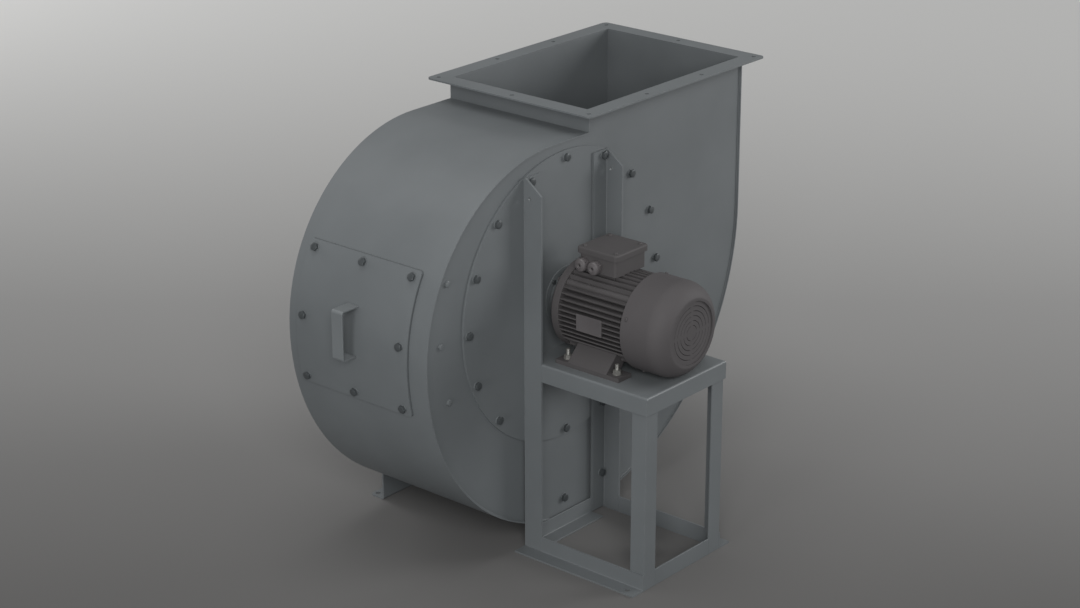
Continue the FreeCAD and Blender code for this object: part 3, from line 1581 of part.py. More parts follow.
def impeller_blades():
    """Backward-curved blades, each an arc that makes the set angles at the eye and at the rim."""
    inlet = radians(blade_inlet_angle)
    outlet = radians(blade_outlet_angle)
    spread = wheel_radius * cos(outlet) - eye_radius * cos(inlet)
    arc_radius = (wheel_radius ** 2 - eye_radius ** 2) / (2 * spread)
    centre_radius = sqrt(arc_radius ** 2 + eye_radius ** 2 - 2 * arc_radius * eye_radius * cos(inlet))

    def on_arc(radius):
        """Angle about the blade's own centre of its point at a distance from the shaft."""
        cosine = (radius ** 2 + centre_radius ** 2 - arc_radius ** 2) / (2 * radius * centre_radius)
        angle = acos(cosine)
        return atan2(radius * sin(angle), radius * cos(angle) - centre_radius)

    spare = radians(blade_end_gap)
    first = on_arc(eye_radius) + spare
    last = on_arc(wheel_radius) - spare
    centre = Vector(centre_radius, blade_y, 0)

    def arc(radius, start, end):
        points = [centre + polar(radius, angle) for angle in (start, (start + end) / 2, end)]
        return Part.Arc(*points).toShape(), points[0], points[2]

    outer, outer_start, outer_end = arc(arc_radius + wheel_sheet / 2, first, last)
    inner, inner_end, inner_start = arc(arc_radius - wheel_sheet / 2, last, first)
    caps = [
        Part.LineSegment(outer_end, inner_end).toShape(),
        Part.LineSegment(inner_start, outer_start).toShape(),
    ]
    face = Part.Face(Part.Wire(Part.__sortEdges__([outer, inner] + caps)))
    strip = face.extrude(Vector(0, rim_width + shroud_rise, 0))
    blade = strip.common(blade_channel())
    blades = []
    for k in range(blade_count):
        copy = blade.copy()
        copy.rotate(Vector(0, 0, 0), Vector(0, 1, 0), 360 * k / blade_count)
        blades.append(copy)
    return Part.makeCompound(blades)


def hub_end_bolt():
    """A bolt in the end of the shaft and the thick washer that holds the hub on."""
    washer = ring(end_washer_radius, M10["shank"] + slip_fit, hub_end_y, hub_end_y + end_washer_thickness)
    seat = hub_end_y + end_washer_thickness
    screw = bolt(M10, seat - shaft_end_y + shaft_extension / 3, washer=False)[0]
    return Part.makeCompound([washer, placed(screw, Vector(0, seat, 0), Vector(0, 1, 0))])


def all_pieces():
    right_rear = rear_post()
    right_front = front_post()
    right_rail = base_rail_side()
    return {
        "scroll_wrapper": scroll_wrapper(),
        "motor_side_plate": motor_side_plate(),
        "inlet_side_plate": inlet_side_plate(),
        "cutoff_tongue": cutoff_tongue(),
        "outlet_flange": outlet_flange(),
        "mounting_disc": mounting_disc(),
        "side_plate_bolts": side_plate_bolts(),
        "plate_spacers": plate_spacers(),
        "shaft_seal": shaft_seal(),
        "seal_retainer": seal_retainer(),
        "seal_screws": seal_screws(),
        "inspection_door": inspection_door(),
        "door_gasket": door_gasket(),
        "door_handle": door_handle(),
        "door_screws": door_screws(),
        "door_frame": door_frame(),
        "door_frame_screws": door_frame_screws(),
        "inlet_cone": inlet_cone(),
        "inlet_spigot": inlet_spigot(),
        "inlet_collar": inlet_collar(),
        "inlet_bolts": inlet_bolts(),
        "inlet_foot": inlet_foot(),
        "inlet_foot_bolts": inlet_foot_bolts(),
        "rear_post_right": right_rear,
        "rear_post_left": mirrored(right_rear),
        "front_post_right": right_front,
        "front_post_left": mirrored(right_front),
        "base_rail_right": right_rail,
        "base_rail_left": mirrored(right_rail),
        "base_rail_front": base_rail_front(),
        "base_rail_rear": base_rail_rear(),
        "motor_table": motor_table(),
        "motor_frame": motor_frame(),
        "drive_end_shield": drive_end_shield(),
        "fan_end_shield": fan_end_shield(),
        "shield_screws": shield_screws(),
        "fan_cover": fan_cover(),
        "cover_screws": cover_screws(),
        "stator_core": stator_core(),
        "stator_winding": stator_winding(),
        "bearing_outer_rings": bearing_outer_rings(),
        "terminal_box": terminal_box(),
        "terminal_box_lid": terminal_box_lid(),
        "lid_screws": lid_screws(),
        "terminal_block": terminal_block(),
        "cable_glands": cable_glands(),
        "nameplate": nameplate(),
        "motor_foot_bolts": motor_foot_bolts(),
        "motor_shaft": motor_shaft(),
        "bearing_inner_rings": bearing_inner_rings(),
        "rotor_core": rotor_core(),
        "cooling_fan": cooling_fan(),
        "shaft_key": shaft_key(),
        "impeller_hub": impeller_hub(),
        "impeller_back_plate": impeller_back_plate(),
        "impeller_blades": impeller_blades(),
        "impeller_shroud": impeller_shroud(),
        "hub_rivets": hub_rivets(),
        "hub_end_bolt": hub_end_bolt(),
    }


os.makedirs("parts", exist_ok=True)
to_floor = Vector(0, -floor_middle_y, shaft_height)
for name, piece in all_pieces().items():
    piece.translate(to_floor)
    piece.exportStep("parts/" + name + ".step")
    print(name, len(piece.Solids), round(piece.Volume / 1000, 1), piece.isValid())
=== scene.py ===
import json
from math import cos, pi, radians, sin, sqrt

import bmesh
import bpy
import numpy
from mathutils import Matrix, Vector


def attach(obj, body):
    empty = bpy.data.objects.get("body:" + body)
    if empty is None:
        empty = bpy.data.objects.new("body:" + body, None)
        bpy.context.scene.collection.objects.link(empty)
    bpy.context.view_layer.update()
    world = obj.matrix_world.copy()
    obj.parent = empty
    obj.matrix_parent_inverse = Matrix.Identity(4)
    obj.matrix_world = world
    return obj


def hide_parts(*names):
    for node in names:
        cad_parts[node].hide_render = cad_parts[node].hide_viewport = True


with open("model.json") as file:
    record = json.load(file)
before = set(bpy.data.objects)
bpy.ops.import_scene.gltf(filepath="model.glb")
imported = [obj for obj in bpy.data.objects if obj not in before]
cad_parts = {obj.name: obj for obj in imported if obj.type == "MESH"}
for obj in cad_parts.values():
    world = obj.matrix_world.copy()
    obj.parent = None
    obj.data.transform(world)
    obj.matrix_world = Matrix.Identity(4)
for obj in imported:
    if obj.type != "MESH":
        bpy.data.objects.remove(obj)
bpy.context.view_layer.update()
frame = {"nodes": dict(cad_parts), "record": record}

# A centrifugal fan: scroll housing, motor and pedestal, painted sheet steel and cast aluminium.
# Lengths are in metres. The shaft runs along Y, the motor is on the side of -Y.
mm = 0.001
slotOf = {part["node"]: part["material_slot"] for part in frame["record"]["subparts"]}
bodyOf = {node: body for body, group in frame["record"]["behaviour"]["bodies"].items() for node in group}
meshCare = {
    "merge": 0.01,           # millimetres, points nearer than this are one
    "flat": 0.4,             # degrees, faces that turn less than this are one
    "sheetSmooth": 35, "turnedSmooth": 32, "nodeSmooth": 30, "beadSmooth": 60, "sealSmooth": 40,
}


# Helpers

def deselectAll():
    if bpy.context.mode != "OBJECT":
        bpy.ops.object.mode_set(mode="OBJECT")
    bpy.ops.object.select_all(action="DESELECT")


def makeActive(piece):
    deselectAll()
    piece.select_set(True)
    bpy.context.view_layer.objects.active = piece


def newPrimitive(name):
    # Names what a primitive operator has just added
    piece = bpy.context.active_object
    piece.name = name
    piece.data.name = name
    return piece


def applyPlace(piece):
    makeActive(piece)
    bpy.ops.object.transform_apply(location=True, rotation=True, scale=True)


def applyModifier(piece, kind, **settings):
    makeActive(piece)
    modifier = piece.modifiers.new(kind.title(), kind)
    for key, value in settings.items():
        setattr(modifier, key, value)
    bpy.ops.object.modifier_apply(modifier=modifier.name)


def bevelSharp(piece, width, segments=2, angle=35):
    applyModifier(piece, "BEVEL", width=width, segments=segments, limit_method="ANGLE",
                  angle_limit=radians(angle), use_clamp_overlap=True)


def smoothByAngle(piece, angle):
    makeActive(piece)
    bpy.ops.object.shade_smooth_by_angle(angle=radians(angle))


def flattenShading(piece):
    # Large faces keep their own normal, and only the broken edges bend it
    applyModifier(piece, "WEIGHTED_NORMAL", mode="FACE_AREA", weight=50, keep_sharp=True)


def enterEdit(piece, mode="FACE"):
    makeActive(piece)
    bpy.ops.object.mode_set(mode="EDIT")
    bpy.ops.mesh.select_mode(type=mode)
    bpy.ops.mesh.select_all(action="DESELECT")


def selectFaces(piece, wanted):
    # Works in edit mode, and selects the faces for which wanted(face) is true
    mesh = bmesh.from_edit_mesh(piece.data)
    for face in mesh.faces:
        face.select_set(bool(wanted(face)))
    bmesh.update_edit_mesh(piece.data)


def leaveEdit():
    bpy.ops.object.mode_set(mode="OBJECT")


def cleanMesh(piece, distance):
    # Merges points that are within a distance in millimetres, and turns the faces outward
    enterEdit(piece)
    bpy.ops.mesh.select_all(action="SELECT")
    bpy.ops.mesh.remove_doubles(threshold=distance * mm)
    bpy.ops.mesh.normals_make_consistent(inside=False)
    leaveEdit()


def joinPieces(pieces, name):
    deselectAll()
    for piece in pieces:
        piece.select_set(True)
    bpy.context.view_layer.objects.active = pieces[0]
    if len(pieces) > 1:
        bpy.ops.object.join()
    pieces[0].name = name
    pieces[0].data.name = name
    return pieces[0]


def spinOutline(name, outline, steps=32):
    # Turns an outline of (radius, height) points in millimetres about Z into a closed skin
    data = bpy.data.meshes.new(name)
    corners = [(radius * mm, 0, height * mm) for radius, height in outline]
    data.from_pydata(corners, [(k, k + 1) for k in range(len(corners) - 1)], [])
    piece = bpy.data.objects.new(name, data)
    bpy.context.scene.collection.objects.link(piece)
    enterEdit(piece, "VERT")
    bpy.ops.mesh.select_all(action="SELECT")
    bpy.ops.mesh.spin(steps=steps, angle=2 * pi, center=(0, 0, 0), axis=(0, 0, 1))
    leaveEdit()
    cleanMesh(piece, 0.002)
    return piece


def copyPlaced(master, name, matrix):
    piece = bpy.data.objects.new(name, master.data.copy())
    bpy.context.scene.collection.objects.link(piece)
    piece.data.transform(matrix)
    return piece


def turnedTo(point, direction, twist=0.0):
    # The matrix that carries +Z at the origin to a direction at a point
    turn = Vector(direction).to_track_quat("Z", "Y").to_matrix().to_4x4()
    return Matrix.Translation(point) @ turn @ Matrix.Rotation(twist, 4, "Z")


def removePiece(piece):
    bpy.data.objects.remove(piece, do_unlink=True)


def finishPiece(piece, slot, body, *nodes):
    # Material chosen from a finish slot, body of a piece, and hiding of the CAD nodes that it stands for
    piece.data.materials.clear()
    piece.data.materials.append(paints[slot])
    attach(piece, body)
    if nodes:
        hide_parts(*nodes)
    return piece


def copyNode(node, name):
    # A copy of a CAD node's mesh, merged so that it can be worked on
    piece = copyPlaced(frame["nodes"][node], name, Matrix())
    enterEdit(piece)
    bpy.ops.mesh.select_all(action="SELECT")
    bpy.ops.mesh.remove_doubles(threshold=meshCare["merge"] * mm)
    bpy.ops.mesh.dissolve_limited(angle_limit=radians(meshCare["flat"]), delimit={"NORMAL"})
    leaveEdit()
    return piece


def nodeBox(node):
    points = numpy.array([vertex.co[:] for vertex in frame["nodes"][node].data.vertices])
    return points.min(axis=0), points.max(axis=0)


def solidsOf(node):
    # The vertices of each separate solid in a CAD node, one array of points each
    mesh = bmesh.new()
    mesh.from_mesh(frame["nodes"][node].data)
    bmesh.ops.remove_doubles(mesh, verts=mesh.verts, dist=0.005 * mm)
    seen = set()
    solids = []
    for start in mesh.verts:
        if start in seen:
            continue
        seen.add(start)
        stack = [start]
        points = []
        while stack:
            vertex = stack.pop()
            points.append(vertex.co[:])
            for edge in vertex.link_edges:
                other = edge.other_vert(vertex)
                if other not in seen:
                    seen.add(other)
                    stack.append(other)
        solids.append(numpy.array(points))
    mesh.free()
    return solids


# Materials

def fromHex(code):
    # An sRGB hex colour as linear RGBA
    channels = [int(code[k:k + 2], 16) / 255 for k in (1, 3, 5)]
    linear = [c / 12.92 if c <= 0.04045 else ((c + 0.055) / 1.055) ** 2.4 for c in channels]
    return (*linear, 1.0)


def perSize(millimetres):
    # Noise scale at which one feature is this wide, on Object coordinates in metres
    return 1000 / millimetres


def addNode(material, kind, settings=None, links=None):
    # Adds a node, sets its properties or sockets, and links its inputs from (node, output) pairs
    tree = material.node_tree
    node = tree.nodes.new(kind)
    for key, value in (settings or {}).items():
        if isinstance(key, str) and hasattr(node, key):
            setattr(node, key, value)
        else:
            node.inputs[key].default_value = value
    for key, (source, output) in (links or {}).items():
        tree.links.new(source.outputs[output], node.inputs[key])
    return node


def startMaterial(name):
    material = bpy.data.materials.new(name)
    material.use_nodes = True
    material.node_tree.nodes.clear()
    return material, addNode(material, "ShaderNodeTexCoord")


def endMaterial(material, shader):
    addNode(material, "ShaderNodeOutputMaterial", links={"Surface": (shader, "BSDF")})
    return material


def addNoise(material, vector, size, detail=3.0, roughness=0.55):
    settings = {"Scale": perSize(size), "Detail": detail, "Roughness": roughness}
    return addNode(material, "ShaderNodeTexNoise", settings, {"Vector": vector})


def addMask(material, source, low, high, amount):
    # Rises from nothing to amount while the source goes from low to high
    return addNode(material, "ShaderNodeMapRange", {"From Min": low, "From Max": high, "To Max": amount},
                   {"Value": source})


def addMix(material, factor, first, second):
    # Mixes two colours, each a hex code or a (node, output) pair
    settings = {"data_type": "RGBA"}
    links = {0: factor}
    for socket, colour in ((6, first), (7, second)):
        if isinstance(colour, str):
            settings[socket] = fromHex(colour)
        else:
            links[socket] = colour
    return addNode(material, "ShaderNodeMix", settings, links)


def sprayedPaint(name, look):
    # Satin two-pack paint on sheet steel: faint mottle, overspray dust on tops, edges lightened as rubbed
    # paint and as a painted edge highlight, orange peel
    material, coordinates = startMaterial(name)
    place = (coordinates, "Object")
    mottle = addNoise(material, place, look["mottleSize"])
    mottleMask = addMask(material, (mottle, "Fac"), *look["mottleSpan"], 1.0)
    tone = addMix(material, (mottleMask, "Result"), look["dark"], look["light"])
    specks = addNoise(material, place, look["speckSize"], 2.0)
    speckMask = addMask(material, (specks, "Fac"), *look["speckSpan"], look["speckAmount"])
    speckled = addMix(material, (speckMask, "Result"), (tone, 2), look["speck"])
    geometry = addNode(material, "ShaderNodeNewGeometry")
    upward = addNode(material, "ShaderNodeSeparateXYZ", links={"Vector": (geometry, "Normal")})
    topMask = addMask(material, (upward, "Z"), *look["dustSpan"], look["dustAmount"])
    dustNoise = addNoise(material, place, look["dustSize"], 4.0, 0.6)
    dustMask = addNode(material, "ShaderNodeMath", {"operation": "MULTIPLY"},
                       {0: (topMask, "Result"), 1: (dustNoise, "Fac")})
    dusted = addMix(material, (dustMask, "Value"), (speckled, 2), look["dust"])
    # Lighter edges: partly rubbed paint, partly a painted edge highlight
    rubAndHighlightNoise = addNoise(material, place, look["rubAndHighlightSize"], 3.0)
    rounded = addNode(material, "ShaderNodeBevel", {"samples": 4, "Radius": look["rubAndHighlightWidth"] * mm})
    agreement = addNode(material, "ShaderNodeVectorMath", {"operation": "DOT_PRODUCT"},
                        {0: (rounded, "Normal"), 1: (geometry, "Normal")})
    rubAndHighlightEdge = addMask(material, (agreement, "Value"), *look["rubAndHighlightSpan"], look["rubAndHighlightAmount"])
    rubAndHighlightMask = addNode(material, "ShaderNodeMath", {"operation": "MULTIPLY"},
                      {0: (rubAndHighlightEdge, "Result"), 1: (rubAndHighlightNoise, "Fac")})
    rubbedAndHighlighted = addMix(material, (rubAndHighlightMask, "Value"), (dusted, 2), look["rubAndHighlight"])
    peel = addNoise(material, place, look["peelSize"], 1.5)
    bump = addNode(material, "ShaderNodeBump", {"Strength": look["peelStrength"], "Distance": 0.3 * mm},
                   {"Height": (peel, "Fac")})
    sheen = addNode(material, "ShaderNodeMapRange",
                    {"To Min": look["roughness"] - 0.05, "To Max": look["roughness"] + 0.07},
                    {"Value": (mottle, "Fac")})
    shader = addNode(material, "ShaderNodeBsdfPrincipled", {"IOR": 1.5, "Metallic": 0.0},
                     {"Base Color": (rubbedAndHighlighted, 2), "Roughness": (sheen, "Result"), "Normal": (bump, "Normal")})
    return endMaterial(material, shader)


def castPaint(name, look):
    # Painted die-cast aluminium: the casting's grain shows through the paint, and its hollows are darkened as
    # painted shade
    material, coordinates = startMaterial(name)
    place = (coordinates, "Object")
    cloud = addNoise(material, place, look["cloudSize"], 4.0)
    tone = addMix(material, (cloud, "Fac"), look["dark"], look["light"])
    geometry = addNode(material, "ShaderNodeNewGeometry")
    # Painted shade: where pointiness is low, in hollows and between the fins, the colour darkens
    low, high = look["hollowShadeSpan"]
    hollowShadeMask = addNode(material, "ShaderNodeMapRange",
                     {"From Min": low, "From Max": high, "To Min": look["hollowShadeAmount"], "To Max": 0.0},
                     {"Value": (geometry, "Pointiness")})
    hollowShaded = addMix(material, (hollowShadeMask, "Result"), (tone, 2), look["hollowShade"])
    grain = addNoise(material, place, look["grainSize"])
    bump = addNode(material, "ShaderNodeBump", {"Strength": look["grainStrength"], "Distance": 0.4 * mm},
                   {"Height": (grain, "Fac")})
    sheen = addNode(material, "ShaderNodeMapRange",
                    {"To Min": look["roughness"] - 0.06, "To Max": look["roughness"] + 0.08},
                    {"Value": (cloud, "Fac")})
    shader = addNode(material, "ShaderNodeBsdfPrincipled", {"IOR": look["gloss"]},
                     {"Base Color": (hollowShaded, 2), "Roughness": (sheen, "Result"), "Normal": (bump, "Normal")})
    return endMaterial(material, shader)


def plainMetal(name, look):
    # Bare or plated metal: machining lines stretched along one axis, and a tone that clouds a little
    material, coordinates = startMaterial(name)
    stretched = addNode(material, "ShaderNodeMapping", {"Scale": look["grain"]},
                        {"Vector": (coordinates, "Object")})
    lines = addNoise(material, (stretched, "Vector"), look["lineSize"], 2.0)
    cloud = addNoise(material, (coordinates, "Object"), look["cloudSize"])
    tone = addMix(material, (cloud, "Fac"), look["dark"], look["light"])
    sheen = addNode(material, "ShaderNodeMapRange",
                    {"To Min": look["roughness"] - 0.08, "To Max": look["roughness"] + 0.1},
                    {"Value": (lines, "Fac")})
    bump = addNode(material, "ShaderNodeBump", {"Strength": 0.12, "Distance": 0.1 * mm},
                   {"Height": (lines, "Fac")})
    shader = addNode(material, "ShaderNodeBsdfPrincipled", {"Metallic": look["metallic"]},
                     {"Base Color": (tone, 2), "Roughness": (sheen, "Result"), "Normal": (bump, "Normal")})
    return endMaterial(material, shader)


def mouldedPlastic(name, look):
    # Moulded polyamide or rubber: dull, with a faint spark-eroded texture from the mould
    material, coordinates = startMaterial(name)
    grain = addNoise(material, (coordinates, "Object"), look["grainSize"], 2.0)
    tone = addMix(material, (grain, "Fac"), look["dark"], look["light"])
    bump = addNode(material, "ShaderNodeBump", {"Strength": 0.15, "Distance": 0.2 * mm},
                   {"Height": (grain, "Fac")})
    shader = addNode(material, "ShaderNodeBsdfPrincipled", {"IOR": 1.53, "Roughness": look["roughness"]},
                     {"Base Color": (tone, 2), "Normal": (bump, "Normal")})
    return endMaterial(material, shader)


housingLook = {              # sizes in millimetres, spans as shares of what drives the mask
    "dark": "#666a6c", "light": "#6d7173", "mottleSize": 260, "mottleSpan": (0.32, 0.68),
    "speck": "#5b5f61", "speckSize": 9, "speckSpan": (0.66, 0.8), "speckAmount": 0.12,
    "dust": "#858889", "dustSize": 45, "dustSpan": (0.35, 1.0), "dustAmount": 0.16,
    # lighter edges: rubbed paint and a painted edge highlight
    "rubAndHighlight": "#8b8f90", "rubAndHighlightSize": 30, "rubAndHighlightSpan": (0.985, 0.88), "rubAndHighlightAmount": 0.38, "rubAndHighlightWidth": 1.2,
    "peelSize": 3.5, "peelStrength": 0.10, "roughness": 0.46,
}
motorLook = {
    "dark": "#4b4949", "light": "#535051", "cloudSize": 60, "grainSize": 2.2, "grainStrength": 0.22,
    # the hollow colour and its span and amount are painted shade in creases
    "hollowShade": "#3c3a3a", "hollowShadeSpan": (0.42, 0.49), "hollowShadeAmount": 0.15, "roughness": 0.66, "gloss": 1.38,
}
paints = {
    "housing_paint": sprayedPaint("SprayedPaintOnSteel", housingLook),
    "handle_paint": sprayedPaint("SprayedPaintHandle", {
        **housingLook, "dark": "#6c7072", "light": "#74787a"}),
    "wheel_paint": sprayedPaint("SprayedPaintWheel", {
        **housingLook, "dark": "#606466", "light": "#686c6e"}),
    "motor_paint": castPaint("PaintedCastAluminium", motorLook),
    # A little lighter than the motor paint, as painted light falling on the cover from above; smoother grain,
    # and no painted shade in its hollows
    "cover_paint": castPaint("PaintedDrawnSteel", {
        **motorLook, "dark": "#4e4b4c", "light": "#565354", "cloudSize": 90, "grainStrength": 0.08,
        "hollowShadeAmount": 0.0}),
    # Hot-blackened bolts: dark, with a soft shine on the flats
    "dark_fasteners": plainMetal("BlackenedSteel", {
        "dark": "#44484a", "light": "#565a5c", "grain": (1, 1, 1), "lineSize": 1.5, "cloudSize": 12,
        "roughness": 0.42, "metallic": 0.3}),
    # Plated and passivated: pale, a little cloudy
    "zinc_fasteners": plainMetal("ZincPlatedSteel", {
        "dark": "#8e8d89", "light": "#9c9b97", "grain": (1, 1, 4), "lineSize": 1.2, "cloudSize": 10,
        "roughness": 0.36, "metallic": 0.6}),
    # Brushed before anodising: fine level lines
    "plate_aluminium": plainMetal("AnodisedAluminium", {
        "dark": "#646061", "light": "#6f6b6c", "grain": (1, 0.1, 1), "lineSize": 0.8, "cloudSize": 30,
        "roughness": 0.42, "metallic": 0.35}),
    # Die-cast cage, turned outside: bright rings
    "rotor_aluminium": plainMetal("TurnedAluminium", {
        "dark": "#9c9d9e", "light": "#aeb0b1", "grain": (0.2, 3, 0.2), "lineSize": 1.0, "cloudSize": 20,
        "roughness": 0.35, "metallic": 1.0}),
    # Stacked sheets: dark lines along the shaft
    "core_steel": plainMetal("LaminatedSteel", {
        "dark": "#5c5e60", "light": "#6c6e70", "grain": (0.1, 4, 0.1), "lineSize": 1.0, "cloudSize": 20,
        "roughness": 0.5, "metallic": 0.9}),
    # Ground shaft and bearing rings: the brightest metal
    "bright_steel": plainMetal("GroundSteel", {
        "dark": "#9fa0a0", "light": "#b4b5b5", "grain": (0.2, 4, 0.2), "lineSize": 0.8, "cloudSize": 25,
        "roughness": 0.28, "metallic": 1.0}),
    # Machined cast iron: dull and dark grey
    "hub_iron": plainMetal("MachinedGreyIron", {
        "dark": "#57595b", "light": "#666869", "grain": (0.3, 3, 0.3), "lineSize": 1.0, "cloudSize": 15,
        "roughness": 0.45, "metallic": 0.85}),
    # Varnished wire ends: warm brown, half shiny
    "winding_copper": plainMetal("EnamelledCopper", {
        "dark": "#7a3f22", "light": "#96552f", "grain": (0.3, 1, 0.3), "lineSize": 1.2, "cloudSize": 15,
        "roughness": 0.36, "metallic": 0.7}),
    # Cut sheet rubber: matt, near the paint's tone
    "gasket_rubber": mouldedPlastic("EpdmRubber", {
        "dark": "#54585a", "light": "#5e6264", "grainSize": 2.5, "roughness": 0.7}),
    # Moulded nut and cap: satin
    "gland_plastic": mouldedPlastic("Polyamide", {
        "dark": "#5a5657", "light": "#625e5f", "grainSize": 1.6, "roughness": 0.45}),
    # Black, with a grain of fibres
    "fan_plastic": mouldedPlastic("GlassFilledPolyamide", {
        "dark": "#1c1c1d", "light": "#272728", "grainSize": 2.0, "roughness": 0.5}),
    # Pressed brown-black resin with a low gloss
    "block_plastic": mouldedPlastic("Bakelite", {
        "dark": "#241f1c", "light": "#2d2724", "grainSize": 1.5, "roughness": 0.35}),
    # Pressed wool: pale and fully matt
    "seal_felt": mouldedPlastic("WoolFelt", {
        "dark": "#8c877c", "light": "#a09a8d", "grainSize": 1.2, "roughness": 0.95}),
}
for nodeName, nodeObject in frame["nodes"].items():
    nodeObject.data.materials.clear()
    nodeObject.data.materials.append(paints[slotOf[nodeName]])
    smoothByAngle(nodeObject, meshCare["nodeSmooth"])
print("materials: done")


# Sheet metal and castings: the CAD outline with its edges broken as a grinder or a mould leaves them

edgeBreaks = {           # node: bevel in millimetres
    "scroll_wrapper": 0.5, "motor_side_plate": 0.4, "inlet_side_plate": 0.4, "cutoff_tongue": 0.4,
    "outlet_flange": 0.8, "mounting_disc": 0.9, "inspection_door": 0.7, "door_handle": 0.8,
    "inlet_collar": 0.5, "inlet_spigot": 0.3, "rear_post_right": 0.8, "rear_post_left": 0.8,
    "front_post_right": 0.8, "front_post_left": 0.8, "base_rail_right": 0.8, "base_rail_left": 0.8,
    "base_rail_front": 0.8, "base_rail_rear": 0.8, "motor_table": 0.7, "inlet_foot": 0.7,
    "terminal_box": 0.6, "terminal_box_lid": 0.6, "drive_end_shield": 1.0, "motor_frame": 0.4,
    "fan_cover": 0.12, "impeller_back_plate": 0.5, "impeller_shroud": 0.4, "impeller_blades": 0.4,
    "seal_retainer": 0.4,
}
rolledNodes = ("scroll_wrapper", "inspection_door")
wheelJoint = next(joint for joint in frame["record"]["behaviour"]["joints"] if joint["name"] == "wheel_spin")
shaftHeight = wheelJoint["pos_m"][2] / mm
arcShift = 48.5          # each arc of the scroll has its centre this far from the shaft, along X and along Z
arcFit = 0.985           # how nearly a face follows its arc, as a cosine, to be shaded as rolled


def arcCentre(x, z):
    # Centre of the arc that rolls this part of the scroll, or None on its straight walls, from the shaft
    if x < -arcShift and z >= -arcShift:
        return -arcShift, -arcShift
    if x < arcShift and z < -arcShift:
        return arcShift, -arcShift
    if x >= arcShift and z < arcShift:
        return arcShift, arcShift
    return None


def roundShading(piece):
    # Rolled faces take the exact normal of their arc, so that their flats and bolt holes leave no streaks
    mesh = piece.data
    normals = [Vector(corner.vector) for corner in mesh.corner_normals]
    for polygon in mesh.polygons:
        for loop in polygon.loop_indices:
            point = mesh.vertices[mesh.loops[loop].vertex_index].co / mm
            centre = arcCentre(polygon.center.x / mm, polygon.center.z / mm - shaftHeight)
            if centre is None:
                continue
            outward = Vector((point.x - centre[0], 0, point.z - shaftHeight - centre[1])).normalized()
            facing = outward.dot(polygon.normal)
            if abs(facing) > arcFit:
                normals[loop] = outward if facing > 0 else -outward
    mesh.normals_split_custom_set([normal[:] for normal in normals])


def dressNode(node, edge):
    # A copy of a node with softened edges takes its place
    piece = copyNode(node, node + "_shell")
    bevelSharp(piece, edge * mm)
    smoothByAngle(piece, meshCare["sheetSmooth"])
    flattenShading(piece)
    if node in rolledNodes:
        roundShading(piece)
    return finishPiece(piece, slotOf[node], bodyOf[node], node)


for nodeName, edge in edgeBreaks.items():
    dressNode(nodeName, edge)
print("sheet metal and castings: done")


# Weld beads in the corner between each side plate and the rolled sheet

beadLook = {
    "radius": 2.4, "roundness": 3, "spigotRadius": 1.8,
    "ends": {"motor_side_plate": 0, "inlet_side_plate": 1},    # plate: its outer face, 0 at -Y and 1 at +Y
}


def outlineEdges(piece, height):
    # The longest chain of edges that bounds the plate's face at this height along Y
    mesh = bmesh.new()
    mesh.from_mesh(piece.data)
    wanted = set()
    for edge in mesh.edges:
        flat = all(abs(vertex.co.y - height) < 0.05 * mm for vertex in edge.verts)
        if flat and any(abs(face.normal.y) < 0.1 for face in edge.link_faces):
            wanted.add(edge)
    best = []
    while wanted:
        stack = [wanted.pop()]
        chain = []
        while stack:
            edge = stack.pop()
            chain.append([tuple(vertex.co) for vertex in edge.verts])
            for vertex in edge.verts:
                for other in vertex.link_edges:
                    if other in wanted:
                        wanted.remove(other)
                        stack.append(other)
        if chainReach(chain) > chainReach(best):
            best = chain
    mesh.free()
    return best


def chainReach(chain):
    heights = [point[2] for pair in chain for point in pair]
    return max(heights) - min(heights) if heights else 0


def makeSeamBead(node, side):
    plate = copyNode(node, node + "Seam")
    low, high = nodeBox(node)
    chain = outlineEdges(plate, (low, high)[side][1])
    removePiece(plate)
    points = [point for pair in chain for point in pair]
    data = bpy.data.meshes.new(node + "_weld")
    data.from_pydata(points, [(2 * k, 2 * k + 1) for k in range(len(chain))], [])
    bead = bpy.data.objects.new(node + "_weld", data)
    bpy.context.scene.collection.objects.link(bead)
    cleanMesh(bead, meshCare["merge"])
    makeActive(bead)
    bpy.ops.object.convert(target="CURVE")
    bead = bpy.context.active_object
    bead.data.bevel_depth = beadLook["radius"] * mm
    bead.data.bevel_resolution = beadLook["roundness"]
    bpy.ops.object.convert(target="MESH")
    bead = bpy.context.active_object
    cleanMesh(bead, 0.005)
    smoothByAngle(bead, meshCare["beadSmooth"])
    finishPiece(bead, "housing_paint", bodyOf[node])


def makeSpigotBead():
    # A fillet of weld round the foot of the inlet spigot, on its collar
    low, high = nodeBox("inlet_spigot")
    middle = ((low[0] + high[0]) / 2, low[1], (low[2] + high[2]) / 2)
    bpy.ops.mesh.primitive_torus_add(
        major_radius=(high[0] - low[0]) / 2, minor_radius=beadLook["spigotRadius"] * mm,
        major_segments=96, minor_segments=10, location=middle, rotation=(radians(90), 0, 0))
    bead = newPrimitive("inlet_spigot_weld")
    applyPlace(bead)
    smoothByAngle(bead, meshCare["beadSmooth"])
    finishPiece(bead, "housing_paint", bodyOf["inlet_spigot"])


for nodeName, side in beadLook["ends"].items():
    makeSeamBead(nodeName, side)
makeSpigotBead()
print("weld beads: done")


# Fasteners: crowned hexagon heads, washers, nuts and threaded ends, each where its CAD solid is

fastenerLook = {
    "crown": 0.47,           # flat top of a head, as a share of its width across flats
    "threadPitch": 1.5, "threadDepth": 0.45, "threadShown": 24.0, "tipChamfer": 0.4,
    "twist": 0.37,           # radians from one fastener to the next, as a hand leaves them
    "edge": 0.25, "nutFlats": 17.0, "nutHeight": 8.0,
    "leastReach": 0.5,       # what goes less deep than this has no shank
}
fastenerNodes = (
    "side_plate_bolts", "door_screws", "inlet_bolts", "inlet_foot_bolts", "motor_foot_bolts", "shield_screws",
    "hub_end_bolt", "lid_screws", "cover_screws", "door_frame_screws", "seal_screws",
)


